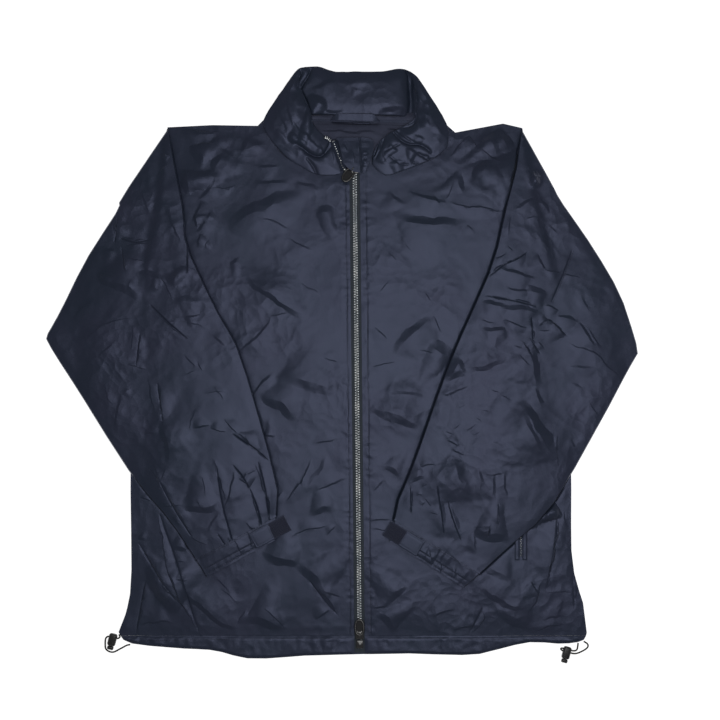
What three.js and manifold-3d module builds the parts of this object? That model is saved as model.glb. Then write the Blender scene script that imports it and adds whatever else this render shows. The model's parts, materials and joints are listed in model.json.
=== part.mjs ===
// A lightweight nylon parka, zipped up and laid on its back, with both sleeves brought in over the front.
//
// Millimetres. +Z is up off the surface that the garment lies on, +Y runs from the hem to the collar and
// +X to the wearer's left. The origin is on the surface, under the middle of the garment.
//
// The cloth lies in plies. Each ply's height is a function of place, sampled on one square grid, and the
// ply above is that same height moved up, so plies follow each other's folds and never cross. A piece of
// cloth is such a ply cut to the piece's outline. "right" and "left" are the wearer's.

import * as THREE from "three";
import { mergeVertices } from "three/addons/utils/BufferGeometryUtils.js";
import Module from "manifold-3d";

const wasm = await Module();
wasm.setup();

// ---------------------------------------------------------------- driving dimensions

const CLOTH = 1.2; // one ply of shell cloth with its turnings
const FINE = 0.09; // detail smaller than this is left out
const SEAM_GAP = 0.3; // between two pieces at a seam
const PLY_GAP = 0.8; // air under a ply that is only laid on another
const GRID = 24; // size of a facet of laid cloth

const ZIP_TOP = [17, 257]; // where the two chains part, at the neck
const ZIP_FOOT = [24, -391]; // end of the chain, at the hem
const CHAIN_WIDTH = 6.4;
const CHAIN_THICK = 2.6;
const FRONT_SET_BACK = 7; // front edge to the middle of the chain
const TAPE_REACH = 15; // zip tape to the middle of the chain
const TAPE_THICK = 0.9;

const HEM_SEAM_Y = -366; // seam between the fronts and the hem casing
const HEM_LIFT = 1.4; // how far the gathers of the casing rise
const HEM_GATHER = 22; // length of one gather along the hem
const CUFF_DEPTH = 27;
const CUFF_GATHERS = 6; // along the half that is drawn up
const CUFF_LIFT = 1.6;
const TAB = { width: 27, length: 58, droop: 2.2 };
const PAD = { width: 25, length: 25, thick: 1.6 };

const BODY_CROWN = 3.2; // the fronts bulge off the back by this much
const CROWN_REACH = 70; // distance in from an edge to the full crown
const SLEEVE_CROWN = 11; // the upper ply of a sleeve over the lower one
const SLEEVE_REACH = 55;
const STEP_START = 36; // a sleeve stays up this far beyond the side seam
const STEP_END = 84; // and is down on the surface from here on

// Corners and curve points of the cut edges as laid. side is the wearer's.
const RIGHT = {
  side: "right",
  sign: -1,
  neck: [-114, 321],
  shoulder: [[-175, 322], [-235, 319]],
  armhole: [[-252, 190], [-283, 62]],
  flank: [[-285, -150], [-284, -290], [-292, -338]],
  hem: [[-301, -361], [-286, -376], [-220, -383], [-172, -386], [-123, -397], [-51, -393]],
  neckSeam: [[-107, 308], [-92, 284], [-66, 264], [-32, 250], [-8, 252]],
  sleeveTop: [-234, 318],
  outer: [[-296, 226], [-303, 207], [-345, 141], [-379, 73], [-397, 41]],
  elbow: [-399, 34],
  under: [[-388, 14], [-350, -45], [-282, -151], [-228, -215]],
  mouth: [[-182, -286], [-90, -237]],
  tabReach: 31, // of the tab's free end beyond the cuff's seam
  inner: [[-86, -170], [-101, -108], [-138, 16], [-166, 68], [-208, 158], [-213, 204], [-226, 272]],
};
const LEFT = {
  side: "left",
  sign: 1,
  neck: [153, 312],
  shoulder: [[185, 318], [217, 324], [243, 318]],
  armhole: [[268, 190], [305, 62]],
  flank: [[309, -150], [310, -262], [325, -322]],
  hem: [[330, -362], [324, -373], [296, -377], [253, -375], [208, -385], [172, -392], [90, -390]],
  neckSeam: [[150, 288], [128, 270], [98, 259], [57, 250], [34, 271]],
  sleeveTop: [242, 317],
  outer: [[282, 245], [296, 219], [336, 161], [375, 94], [397, 28]],
  elbow: [399, 14],
  under: [[384, -12], [345, -84], [280, -194], [222, -248]],
  mouth: [[164, -301], [64, -238]],
  tabReach: 17,
  inner: [[76, -182], [97, -132], [134, -27], [160, 38], [202, 134], [220, 208], [234, 262]],
};
const SIDES = [RIGHT, LEFT];

// The largest folds: a soft ridge that runs length along angle (degrees from +X) through x, y.
const FRONT_FOLDS = [
  { x: -50, y: -50, angle: -35, length: 110, width: 26, height: 3.6 },
  { x: -92, y: 92, angle: -34, length: 120, width: 24, height: 3.2 },
  { x: -112, y: 210, angle: 28, length: 120, width: 30, height: 3.4 },
  { x: -196, y: 255, angle: 58, length: 130, width: 26, height: 3.0 },
  { x: -34, y: -310, angle: -50, length: 100, width: 26, height: 3.4 },
  { x: -222, y: -285, angle: -66, length: 150, width: 24, height: 4.2 },
  { x: -243, y: -292, angle: -55, length: 100, width: 22, height: 3.0 },
  { x: 70, y: -72, angle: -20, length: 100, width: 26, height: 3.6 },
  { x: 95, y: 40, angle: 42, length: 90, width: 24, height: 3.2 },
  { x: 118, y: 212, angle: -10, length: 120, width: 30, height: 3.4 },
  { x: 196, y: 252, angle: 64, length: 110, width: 26, height: 3.4 },
  { x: 62, y: -330, angle: 52, length: 90, width: 24, height: 2.8 },
  { x: 205, y: -290, angle: -12, length: 120, width: 30, height: 3.4 },
  { x: 283, y: -246, angle: 82, length: 140, width: 24, height: 4.0 },
];
const SLEEVE_FOLDS = [
  { x: -300, y: 102, angle: -12, length: 120, width: 30, height: 5.0 },
  { x: -232, y: 44, angle: -46, length: 90, width: 26, height: 4.0 },
  { x: -240, y: -80, angle: -74, length: 120, width: 26, height: 4.0 },
  { x: -128, y: -106, angle: -40, length: 80, width: 26, height: 4.4 },
  { x: -215, y: -196, angle: -58, length: 110, width: 24, height: 4.0 },
  { x: -150, y: -190, angle: -72, length: 70, width: 24, height: 3.6 },
  { x: 232, y: 62, angle: -14, length: 120, width: 30, height: 5.0 },
  { x: 196, y: 120, angle: 24, length: 80, width: 26, height: 3.8 },
  { x: 322, y: 30, angle: -42, length: 110, width: 28, height: 4.0 },
  { x: 268, y: -84, angle: -54, length: 110, width: 28, height: 4.4 },
  { x: 158, y: -150, angle: -58, length: 90, width: 28, height: 4.4 },
  { x: 140, y: -62, angle: 20, length: 100, width: 26, height: 3.6 },
];

// ---------------------------------------------------------------- materials

const finish = (color, roughness, metalness = 0) =>
  new THREE.MeshStandardMaterial({ color, roughness, metalness });
const SHELL = finish(0x2b2f3f, 0.5);
const FACING = finish(0x262a38, 0.62);
const TAPE = finish(0x15171f, 0.8);
const TEETH = finish(0x84878c, 0.35, 0.8);
const HARDWARE = finish(0x1a1b1e, 0.35, 0.6);
const HOOKS = finish(0x0d0f17, 0.95);
const PLASTIC = finish(0x101113, 0.4);
const SHOCK_CORD = finish(0x2a2b2e, 0.8);

// ---------------------------------------------------------------- solids and meshes

const parka = new THREE.Group();

// A closed geometry as a solid that can be joined and cut.
function solidOf(geometry) {
  const bare = new THREE.BufferGeometry();
  bare.setAttribute("position", geometry.getAttribute("position").clone());
  if (geometry.index) bare.setIndex(geometry.index.clone());
  const merged = mergeVertices(bare, 1e-4);
  return new wasm.Manifold(
    new wasm.Mesh({
      numProp: 3,
      vertProperties: merged.getAttribute("position").array,
      triVerts: new Uint32Array(merged.index.array),
    }),
  );
}

function add(name, solid, material) {
  const mesh = solid.simplify(FINE).getMesh();
  const position = new Float32Array(mesh.numVert * 3);
  for (let i = 0; i < mesh.numVert; i++) {
    position.set(mesh.vertProperties.subarray(i * mesh.numProp, i * mesh.numProp + 3), i * 3);
  }
  const geometry = new THREE.BufferGeometry()
    .setAttribute("position", new THREE.BufferAttribute(position, 3))
    .setIndex(new THREE.BufferAttribute(mesh.triVerts, 1));
  geometry.computeVertexNormals();
  const piece = new THREE.Mesh(geometry, material);
  piece.name = name;
  parka.add(piece);
  return piece;
}

// A box, cylinder or other geometry, turned by degrees about X, Y and Z and then moved.
function placed(geometry, [x, y, z], turn = [0, 0, 0]) {
  const angles = new THREE.Euler(...turn.map(THREE.MathUtils.degToRad), "XYZ");
  const matrix = new THREE.Matrix4().makeRotationFromEuler(angles).setPosition(x, y, z);
  return solidOf(geometry.clone().applyMatrix4(matrix));
}

// ---------------------------------------------------------------- outlines

const points = (pairs) => pairs.map(([x, y]) => new THREE.Vector2(x, y));
const smooth = (pairs, steps) => new THREE.SplineCurve(points(pairs)).getPoints(steps);

function prism(outline, low = -5, high = 80) {
  const shape = new THREE.Shape(outline);
  const geometry = new THREE.ExtrudeGeometry(shape, { depth: high - low, bevelEnabled: false });
  return solidOf(geometry.translate(0, 0, low));
}

// Distance from x, y to a line of points, and whether x, y is inside it when it is closed.
function distanceTo(line, x, y) {
  let best = Infinity;
  for (let i = 0; i + 1 < line.length; i++) {
    const a = line[i];
    const b = line[i + 1];
    const dx = b.x - a.x;
    const dy = b.y - a.y;
    const along = THREE.MathUtils.clamp(
      ((x - a.x) * dx + (y - a.y) * dy) / (dx * dx + dy * dy), 0, 1);
    best = Math.min(best, Math.hypot(x - a.x - along * dx, y - a.y - along * dy));
  }
  return best;
}

function isInside(outline, x, y) {
  let inside = false;
  for (let i = 0, j = outline.length - 1; i < outline.length; j = i++) {
    const a = outline[i];
    const b = outline[j];
    if (a.y > y !== b.y > y && x < ((b.x - a.x) * (y - a.y)) / (b.y - a.y) + a.x) inside = !inside;
  }
  return inside;
}

const closed = (outline) => [...outline, outline[0]];

// The outline moved in by a distance, for one that turns gently.
function inset(outline, distance) {
  const count = outline.length;
  const turn = Math.sign(THREE.ShapeUtils.area(outline));
  return outline.map((p, i) => {
    const before = outline[(i + count - 1) % count];
    const after = outline[(i + 1) % count];
    const a = p.clone().sub(before).normalize();
    const b = after.clone().sub(p).normalize();
    const normal = new THREE.Vector2(-(a.y + b.y), a.x + b.x).normalize();
    const stretch = Math.max(0.5, normal.x * -a.y + normal.y * a.x);
    return p.clone().addScaledVector(normal, (turn * distance) / stretch);
  });
}

// The largest body of a solid that was cut.
function largest(solid) {
  const bodies = solid.decompose();
  return bodies.reduce((a, b) => (a.volume() > b.volume() ? a : b));
}

const grown = (outline, distance) => inset(outline, -distance);

// ---------------------------------------------------------------- plies of laid cloth

// A height sampled on the grid and flat between, so that plies over each other share their facets.
function faceted(height) {
  const known = new Map();
  const at = (i, j) => {
    const key = i * 4096 + j;
    if (!known.has(key)) known.set(key, height(i * GRID, j * GRID));
    return known.get(key);
  };
  return (x, y) => {
    const i = Math.floor(x / GRID + 1e-9);
    const j = Math.floor(y / GRID + 1e-9);
    const u = x / GRID - i;
    const v = y / GRID - j;
    const low = at(i, j);
    const high = at(i + 1, j + 1);
    if (u > v) return low + u * (at(i + 1, j) - low) + v * (high - at(i + 1, j));
    return low + v * (at(i, j + 1) - low) + u * (high - at(i, j + 1));
  };
}

// The space between two heights, cut to an outline.
function ply(outline, low, high, cell = GRID) {
  const xs = outline.map((p) => p.x);
  const ys = outline.map((p) => p.y);
  const i0 = Math.floor(Math.min(...xs) / cell) - 1;
  const j0 = Math.floor(Math.min(...ys) / cell) - 1;
  const columns = Math.ceil(Math.max(...xs) / cell) + 2 - i0;
  const rows = Math.ceil(Math.max(...ys) / cell) + 2 - j0;
  const position = [];
  for (const height of [low, high]) {
    for (let j = 0; j < rows; j++) {
      for (let i = 0; i < columns; i++) {
        const x = (i0 + i) * cell;
        const y = (j0 + j) * cell;
        position.push(x, y, height(x, y));
      }
    }
  }
  const index = [];
  const above = columns * rows;
  const quad = (a, b, c, d) => index.push(a, b, c, a, c, d);
  for (let j = 0; j + 1 < rows; j++) {
    for (let i = 0; i + 1 < columns; i++) {
      const a = j * columns + i;
      const [b, c, d] = [a + 1, a + columns + 1, a + columns];
      quad(a + above, b + above, c + above, d + above);
      index.push(a, c, b, a, d, c);
    }
  }
  for (let i = 0; i + 1 < columns; i++) {
    const last = (rows - 1) * columns + i;
    quad(i, i + 1, i + 1 + above, i + above);
    quad(last + 1, last, last + above, last + 1 + above);
  }
  for (let j = 0; j + 1 < rows; j++) {
    const first = j * columns;
    const last = first + columns - 1;
    quad(first + columns, first, first + above, first + columns + above);
    quad(last, last + columns, last + columns + above, last + above);
  }
  const geometry = new THREE.BufferGeometry()
    .setAttribute("position", new THREE.Float32BufferAttribute(position, 3))
    .setIndex(index);
  return solidOf(geometry).intersect(prism(outline));
}

const level = (z) => () => z;
const raised = (height, by) => (x, y) => height(x, y) + by;
const ease = (from, to, value) => THREE.MathUtils.smoothstep(value, from, to);

function folds(table, x, y) {
  let rise = 0;
  for (const fold of table) {
    const angle = THREE.MathUtils.degToRad(fold.angle);
    const along = (x - fold.x) * Math.cos(angle) + (y - fold.y) * Math.sin(angle);
    const across = (y - fold.y) * Math.cos(angle) - (x - fold.x) * Math.sin(angle);
    const u = Math.min(1, Math.abs((2 * along) / fold.length));
    const v = Math.min(1, Math.abs(across / fold.width));
    rise += (fold.height * (1 + Math.cos(Math.PI * u)) * (1 + Math.cos(Math.PI * v))) / 4;
  }
  return rise;
}

// ---------------------------------------------------------------- the body's outline and heights

const zipX = (y) =>
  ZIP_TOP[0] + ((ZIP_FOOT[0] - ZIP_TOP[0]) * (ZIP_TOP[1] - y)) / (ZIP_TOP[1] - ZIP_FOOT[1]);

for (const part of SIDES) {
  part.armholeLine = smooth([part.shoulder.at(-1), ...part.armhole], 6);
  part.flankLine = smooth([part.armhole.at(-1), ...part.flank], 8);
  part.hemLine = smooth(part.hem, 14);
  part.edge = [
    ...points([part.neck, ...part.shoulder.slice(0, -1)]),
    ...part.armholeLine.slice(0, -1),
    ...part.flankLine,
  ];
}

const BACK_NECK_Y = 335; // seam of the back collar
const backNeck = points([[-104, BACK_NECK_Y - 4], [-96, BACK_NECK_Y], [100, BACK_NECK_Y - 1], [136, BACK_NECK_Y - 8]]);
const bodyOutline = [
  ...[...RIGHT.edge].map((p) => p.clone()),
  ...RIGHT.hemLine,
  ...[...LEFT.hemLine].reverse(),
  ...[...LEFT.edge].reverse(),
  ...[...backNeck].reverse(),
];

const POCKET = {
  right: { x: -189, foot: -264, top: -120 },
  left: { x: 241, foot: -264, top: -120 },
};
const POCKET_LIFT = 3;

const frontLow = faceted((x, y) => {
  const inside = isInside(bodyOutline, x, y) ? distanceTo(closed(bodyOutline), x, y) : 0;
  const overZip = TAPE_THICK + SEAM_GAP;
  const nearZip = 1 - ease(30, 90, Math.abs(x - zipX(y)));
  const crown = BODY_CROWN * ease(0, CROWN_REACH, inside);
  const flat = 1 - 0.6 * ease(0, 40, 60 - Math.abs(x - zipX(y)));
  return CLOTH + SEAM_GAP + Math.max(overZip * nearZip, crown) + flat * folds(FRONT_FOLDS, x, y);
});
const frontTop = raised(frontLow, CLOTH);

const pocketRise = (x, y) => {
  let rise = 0;
  for (const pocket of Object.values(POCKET)) {
    const away = distanceTo(points([[pocket.x, pocket.foot], [pocket.x, pocket.top]]), x, y);
    rise = Math.max(rise, POCKET_LIFT * (1 - ease(44, 80, away)));
  }
  return rise;
};
const sleeveBed = faceted((x, y) => frontTop(x, y) + pocketRise(x, y) + PLY_GAP);

// ---------------------------------------------------------------- collar

// The collar is a padded band with the hood rolled in it. A row is a section across the band, from the
// neck seam to the top edge, starting at the wearer's right of the zip and going round by the back.
// inward is the share of the padding that swells towards the neck.
const COLLAR = [
  { base: [0, 256, 6.6], top: [-13, 297, 13], thick: 4.5, inward: 0.5 },
  { base: [-16, 254, 5.6], top: [-27, 309, 16], thick: 7, inward: 0.5 },
  { base: [-34, 255, 5.2], top: [-39, 323, 19], thick: 8, inward: 0.5 },
  { base: [-55, 266, 5], top: [-42, 338, 21], thick: 9, inward: 0.5 },
  { base: [-76, 279, 5], top: [-49, 354, 22.5], thick: 9.5, inward: 0.5 },
  { base: [-91, 296, 5.4], top: [-56, 368, 23], thick: 10, inward: 0.5 },
  { base: [-102, 313, 6.2], top: [-58, 383, 21], thick: 10, inward: 0.55 },
  { base: [-106, 326, 4.6], top: [-55, 394, 13.5], thick: 10, inward: 0.65 },
  { base: [-96, 334, 2.4], top: [-46, 396.5, 6], thick: 10, inward: 0.9 },
  { base: [-70, 335, 1.6], top: [-31, 396.5, 3.6], thick: 10, inward: 1 },
  { base: [-30, 335, 1.6], top: [-8, 389.5, 3.6], thick: 10, inward: 1 },
  { base: [19, 334.5, 1.6], top: [19, 390, 3.8], thick: 10, inward: 1 },
  { base: [67, 334, 1.6], top: [57, 390, 3.6], thick: 10, inward: 1 },
  { base: [105, 332, 1.6], top: [76, 394, 3.8], thick: 10, inward: 1 },
  { base: [130, 328, 2.6], top: [87, 392, 6.6], thick: 10, inward: 0.9 },
  { base: [141, 320, 4.8], top: [95, 386, 13.5], thick: 10, inward: 0.65 },
  { base: [144, 307, 6.4], top: [100, 370, 20.5], thick: 10, inward: 0.55 },
  { base: [141, 292, 6], top: [102, 349, 22.6], thick: 10, inward: 0.5 },
  { base: [126, 279, 5.5], top: [100, 332, 22], thick: 9.5, inward: 0.5 },
  { base: [101, 268, 5], top: [85, 320, 20], thick: 9, inward: 0.5 },
  { base: [78, 259, 5.2], top: [62, 309, 18], thick: 8, inward: 0.5 },
  { base: [58, 254, 5.8], top: [47, 294, 15.5], thick: 6.5, inward: 0.5 },
  { base: [41, 268, 7.4], top: [41, 280, 11.5], thick: 4.5, inward: 0.5 },
];
const BASE_THICK = 2.4; // the band is pressed flat at the neck seam

// The band's thickness as a share of the full, from 0 at the neck seam to 1 at the top edge.
const PROFILE = [[0, 0.24], [0.08, 0.72], [0.22, 1], [0.5, 1.04], [0.8, 1], [0.93, 0.8], [1, 0.4]];

function band(rows, extra = 0) {
  const bases = rows.map((row) => new THREE.Vector3(...row.base));
  const tops = rows.map((row) => new THREE.Vector3(...row.top));
  const baseCurve = new THREE.CatmullRomCurve3(bases, false, "centripetal");
  const topCurve = new THREE.CatmullRomCurve3(tops, false, "centripetal");
  const count = 2 * (rows.length - 1);
  const ring = 2 * PROFILE.length;
  const position = [];
  for (let i = 0; i <= count; i++) {
    const t = i / count;
    const base = baseCurve.getPoint(t);
    const up = topCurve.getPoint(t).sub(base);
    const k = Math.min(rows.length - 2, Math.floor(t * (rows.length - 1)));
    const between = (key) => THREE.MathUtils.lerp(rows[k][key], rows[k + 1][key], t * (rows.length - 1) - k);
    const run = baseCurve.getTangent(t).add(topCurve.getTangent(t)).normalize();
    const outward = up.clone().cross(run).normalize();
    const away = up.clone().normalize();
    const section = (side, [h, share]) => {
      const swell = Math.max(0, share * between("thick") - BASE_THICK);
      const part = side > 0 ? 1 - between("inward") : between("inward");
      const half = side * (BASE_THICK / 2 + swell * part + extra);
      const reach = h === 0 ? -extra : h === 1 ? extra : 0;
      return base.clone().addScaledVector(up, h).addScaledVector(away, reach).addScaledVector(outward, half);
    };
    const around = [
      ...PROFILE.map((row) => section(1, row)),
      ...[...PROFILE].reverse().map((row) => section(-1, row)),
    ];
    if (i === 0 || i === count) around.forEach((p) => p.addScaledVector(run, i ? extra : -extra));
    around.forEach((p) => position.push(...p.toArray()));
  }
  const index = [];
  for (let i = 0; i < count; i++) {
    for (let k = 0; k < ring; k++) {
      const a = i * ring + k;
      const b = i * ring + ((k + 1) % ring);
      index.push(a, b, b + ring, a, b + ring, a + ring);
    }
  }
  for (let k = 1; k + 1 < ring; k++) {
    index.push(0, k + 1, k);
    index.push(count * ring, count * ring + k, count * ring + k + 1);
  }
  const geometry = new THREE.BufferGeometry()
    .setAttribute("position", new THREE.Float32BufferAttribute(position, 3))
    .setIndex(index);
  return solidOf(geometry);
}

const collar = band(COLLAR);
const neckRoom = band(COLLAR, SEAM_GAP);
add("collar", collar, SHELL);

// ---------------------------------------------------------------- back, fronts and hem casing

const HEM_SEAM = SEAM_GAP / 2;
const aboveHem = prism(points([[-500, HEM_SEAM_Y + HEM_SEAM], [500, HEM_SEAM_Y + HEM_SEAM], [500, 500], [-500, 500]]));
const belowHem = prism(points([[-500, -500], [500, -500], [500, HEM_SEAM_Y - HEM_SEAM], [-500, HEM_SEAM_Y - HEM_SEAM]]));

const backPly = prism(bodyOutline, 0, CLOTH);
add("back", largest(backPly.intersect(aboveHem).subtract(neckRoom)), SHELL);
add("hem_back", backPly.intersect(belowHem), SHELL);

// The lining of the back neck, which shows between the two ends of the collar.
const facingOutline = points([[-92, 328], [128, 324], [122, 262], [20, 236], [-84, 262]]);
const facing = prism(facingOutline, CLOTH + SEAM_GAP, 2 * CLOTH).subtract(neckRoom);
add("back_neck_facing", largest(facing), FACING);

// The loop that the garment hangs by, across the neck seam.
const HANGER = { length: 60, width: 8, thick: 1 };
const hanger = placed(new THREE.BoxGeometry(HANGER.length, HANGER.width, HANGER.thick), [18, 332.6, 3.9], [18, 0, -1]);
add("hanger_loop", largest(hanger.subtract(neckRoom)), FACING);

const zipEdge = (side, y) => new THREE.Vector2(zipX(y) + side.sign * FRONT_SET_BACK, y);
function gathers(x, y) {
  const deep = ease(0, 14, HEM_SEAM_Y - y) * ease(4, 26, Math.abs(x - zipX(y)));
  return HEM_LIFT * deep * (1 + Math.sin((2 * Math.PI * x) / HEM_GATHER));
}

const fronts = {};
for (const part of SIDES) {
  const outline = [
    zipEdge(part, part.neckSeam.at(-1)[1] + 6),
    ...smooth([...part.neckSeam].reverse(), 10).map((p) => p.add({ x: 0, y: 8 })),
    new THREE.Vector2(...part.neck),
    ...part.edge.slice(1),
    ...part.hemLine,
    zipEdge(part, ZIP_FOOT[1]),
  ];
  fronts[part.side] = ply(outline, frontLow, frontTop).intersect(aboveHem).subtract(neckRoom);
  const casing = ply(outline, frontLow, (x, y) => frontTop(x, y) + gathers(x, y), GRID / 4);
  add("hem_" + part.side, casing.intersect(belowHem), SHELL);
}
for (const part of SIDES) add("front_" + part.side, largest(fronts[part.side]), SHELL);

// ---------------------------------------------------------------- front zip

const zipBed = raised(frontLow, -(TAPE_THICK + SEAM_GAP));
for (const part of SIDES) {
  const top = ZIP_TOP[1] + 4;
  const at = (y, reach) => new THREE.Vector2(zipX(y) + part.sign * reach, y);
  const tape = [at(top, 0.2), at(top, TAPE_REACH), at(ZIP_FOOT[1] + 2, TAPE_REACH), at(ZIP_FOOT[1] + 2, 0.2)];
  add("zip_tape_" + part.side, ply(tape, zipBed, raised(zipBed, TAPE_THICK)), TAPE);
}

// Both rows of teeth, meshed, between the two sliders and down to the box at the foot.
const SLIDER = { width: 10.8, length: 12, wall: 1.1, clear: 0.4 };
const slots = { top: ZIP_TOP[1] + 5.5, foot: -364.5 };
const BOX = { width: 9.4, length: 11, thick: 3.4, y: ZIP_FOOT[1] + 13.5 };
const onZip = (y) => new THREE.Vector3(zipX(y), y, frontLow(zipX(y), y));
const chain = [slots.top - 2, BOX.y + BOX.length / 2 + SEAM_GAP].flatMap((y, end) => {
  const half = CHAIN_WIDTH / 2;
  const pair = [new THREE.Vector2(zipX(y) - half, y), new THREE.Vector2(zipX(y) + half, y)];
  return end ? pair.reverse() : pair;
});
add("zip_chain", ply(chain, frontLow, raised(frontLow, CHAIN_THICK)), TEETH);

const zipLean = THREE.MathUtils.radToDeg(Math.atan2(ZIP_FOOT[0] - ZIP_TOP[0], ZIP_TOP[1] - ZIP_FOOT[1]));
const boxPlace = onZip(BOX.y).add({ x: 0, y: 0, z: BOX.thick / 2 + 0.05 });
const box = placed(new THREE.BoxGeometry(BOX.width, BOX.length, BOX.thick), boxPlace.toArray(), [0, 0, zipLean]);
add("zip_box", box, HARDWARE);

// A slider is a channel over the chain, with an arch on it, turned to heading, that holds the pull.
// The arch stands beside the middle line by aside.
const ARCH = { width: 1.8, bore: 3.4, wall: 1 };
function slider(y, heading, aside) {
  const foot = onZip(y);
  const top = CHAIN_THICK + SLIDER.clear + SLIDER.wall;
  const height = top - 0.2;
  const outer = new THREE.BoxGeometry(SLIDER.width, SLIDER.length, height).translate(0, 0, 0.2 + height / 2);
  const channel = new THREE.BoxGeometry(
    SLIDER.width - 2 * SLIDER.wall, SLIDER.length + 2, 2 * (CHAIN_THICK + SLIDER.clear));
  const arch = new THREE.CylinderGeometry(ARCH.bore / 2 + ARCH.wall + 0.4, ARCH.bore / 2 + ARCH.wall + 0.4, ARCH.width, 24)
    .rotateZ(Math.PI / 2).scale(1, 1.3, 1).translate(0, 0, top + 0.6);
  const bore = new THREE.CylinderGeometry(ARCH.bore / 2, ARCH.bore / 2, ARCH.width + 2, 20)
    .rotateZ(Math.PI / 2).translate(0, 0, top + ARCH.bore / 2);
  const below = new THREE.BoxGeometry(30, 30, 20).translate(0, 0, top - 10.3);
  const loop = solidOf(arch).subtract(solidOf(bore)).subtract(solidOf(below));
  const body = solidOf(outer).subtract(solidOf(channel)).rotate([0, 0, zipLean]);
  return {
    solid: body.add(loop.rotate([0, 0, heading - 90]).translate([aside, 0, 0])).translate(foot.toArray()),
    pin: foot.add(new THREE.Vector3(aside, 0, top + ARCH.bore / 2)),
  };
}

// A ring pull: an oval of wire through the bore of the arch, which lies towards heading.
const PULL = { length: 23, width: 14, wire: 2.1 };
function ringPull(pin, heading, { length, width, wire }, tip) {
  const rx = width / 2 - wire / 2;
  const ry = length / 2 - wire / 2;
  const oval = [];
  for (let k = 0; k < 28; k++) {
    const t = (2 * Math.PI * k) / 28;
    oval.push(new THREE.Vector3(rx * Math.cos(t), ry + ry * Math.sin(t), 0));
  }
  const path = new THREE.CatmullRomCurve3(oval, true);
  const ring = new THREE.TubeGeometry(path, 30, wire / 2, 7, true);
  ring.rotateX(THREE.MathUtils.degToRad(tip)).rotateZ(THREE.MathUtils.degToRad(heading - 90));
  return solidOf(ring).translate(pin.toArray());
}

const HEADING = { top: 234, foot: 90 + zipLean };
const topSlider = slider(slots.top, HEADING.top, -2.5);
const footSlider = slider(slots.foot, HEADING.foot, 0);
add("zip_slider_top", topSlider.solid, HARDWARE);
add("zip_slider_foot", footSlider.solid, HARDWARE);
add("zip_pull_top", ringPull(topSlider.pin, HEADING.top, PULL, 4), HARDWARE);
add("zip_pull_foot", ringPull(footSlider.pin, HEADING.foot, PULL, -2), HARDWARE);

// Above the top slider the chains part. The one on the wearer's right shows along the collar's edge.
const parted = new THREE.LineCurve3(new THREE.Vector3(5.2, 262.5, 7.4), new THREE.Vector3(-9.6, 299, 13.4));
const lean = parted.getTangent(0);
const halfChain = new THREE.BoxGeometry(3, parted.getLength(), 2.2)
  .applyQuaternion(new THREE.Quaternion().setFromUnitVectors(new THREE.Vector3(0, 1, 0), lean));
const halfPlace = parted.getPoint(0.5);
halfChain.translate(halfPlace.x, halfPlace.y, halfPlace.z);
add("zip_chain_parted", largest(solidOf(halfChain).subtract(neckRoom)), TEETH);

// The guard lies behind the chains, where the zip would touch the chin.
const guardLine = [
  ...smooth([[-7, 304], [-6, 291], [-3, 281.5], [2.5, 273.5], [8, 270.5], [22, 270]], 8),
  ...points([[34, 266], [46, 286], [38, 303.5]]),
];
const guardLow = faceted((x, y) => frontTop(x, y) + 0.5 + 0.05 * Math.max(0, y - 264));
add("zip_guard", largest(ply(guardLine, guardLow, raised(guardLow, 1.4)).subtract(neckRoom)), SHELL);

// ---------------------------------------------------------------- sleeves and cuffs

function sleeveHeights(part) {
  const flank = closed(bodyOutline);
  const armpit = part.armhole.at(-1)[1];
  const beyond = (x, y) => (isInside(bodyOutline, x, y) ? 0 : distanceTo(flank, x, y));
  const outside = (x, y) => 1 - ease(STEP_START, STEP_END, beyond(x, y));
  const low = faceted((x, y) => sleeveBed(x, y) * outside(x, y));
  const dropped = faceted(
    (x, y) => sleeveBed(x, y) * outside(x, y) * (1 - ease(armpit + GRID, armpit + 4 * GRID, y)));
  const high = faceted((x, y) => {
    const inside = isInside(part.sleeve, x, y) ? distanceTo(closed(part.sleeve), x, y) : 0;
    const crown = SLEEVE_CROWN * Math.sqrt(Math.min(1, inside / SLEEVE_REACH));
    return sleeveBed(x, y) * outside(x, y) + 2 * CLOTH + 0.7 + crown + folds(SLEEVE_FOLDS, x, y);
  });
  return { low, dropped, high };
}

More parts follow.
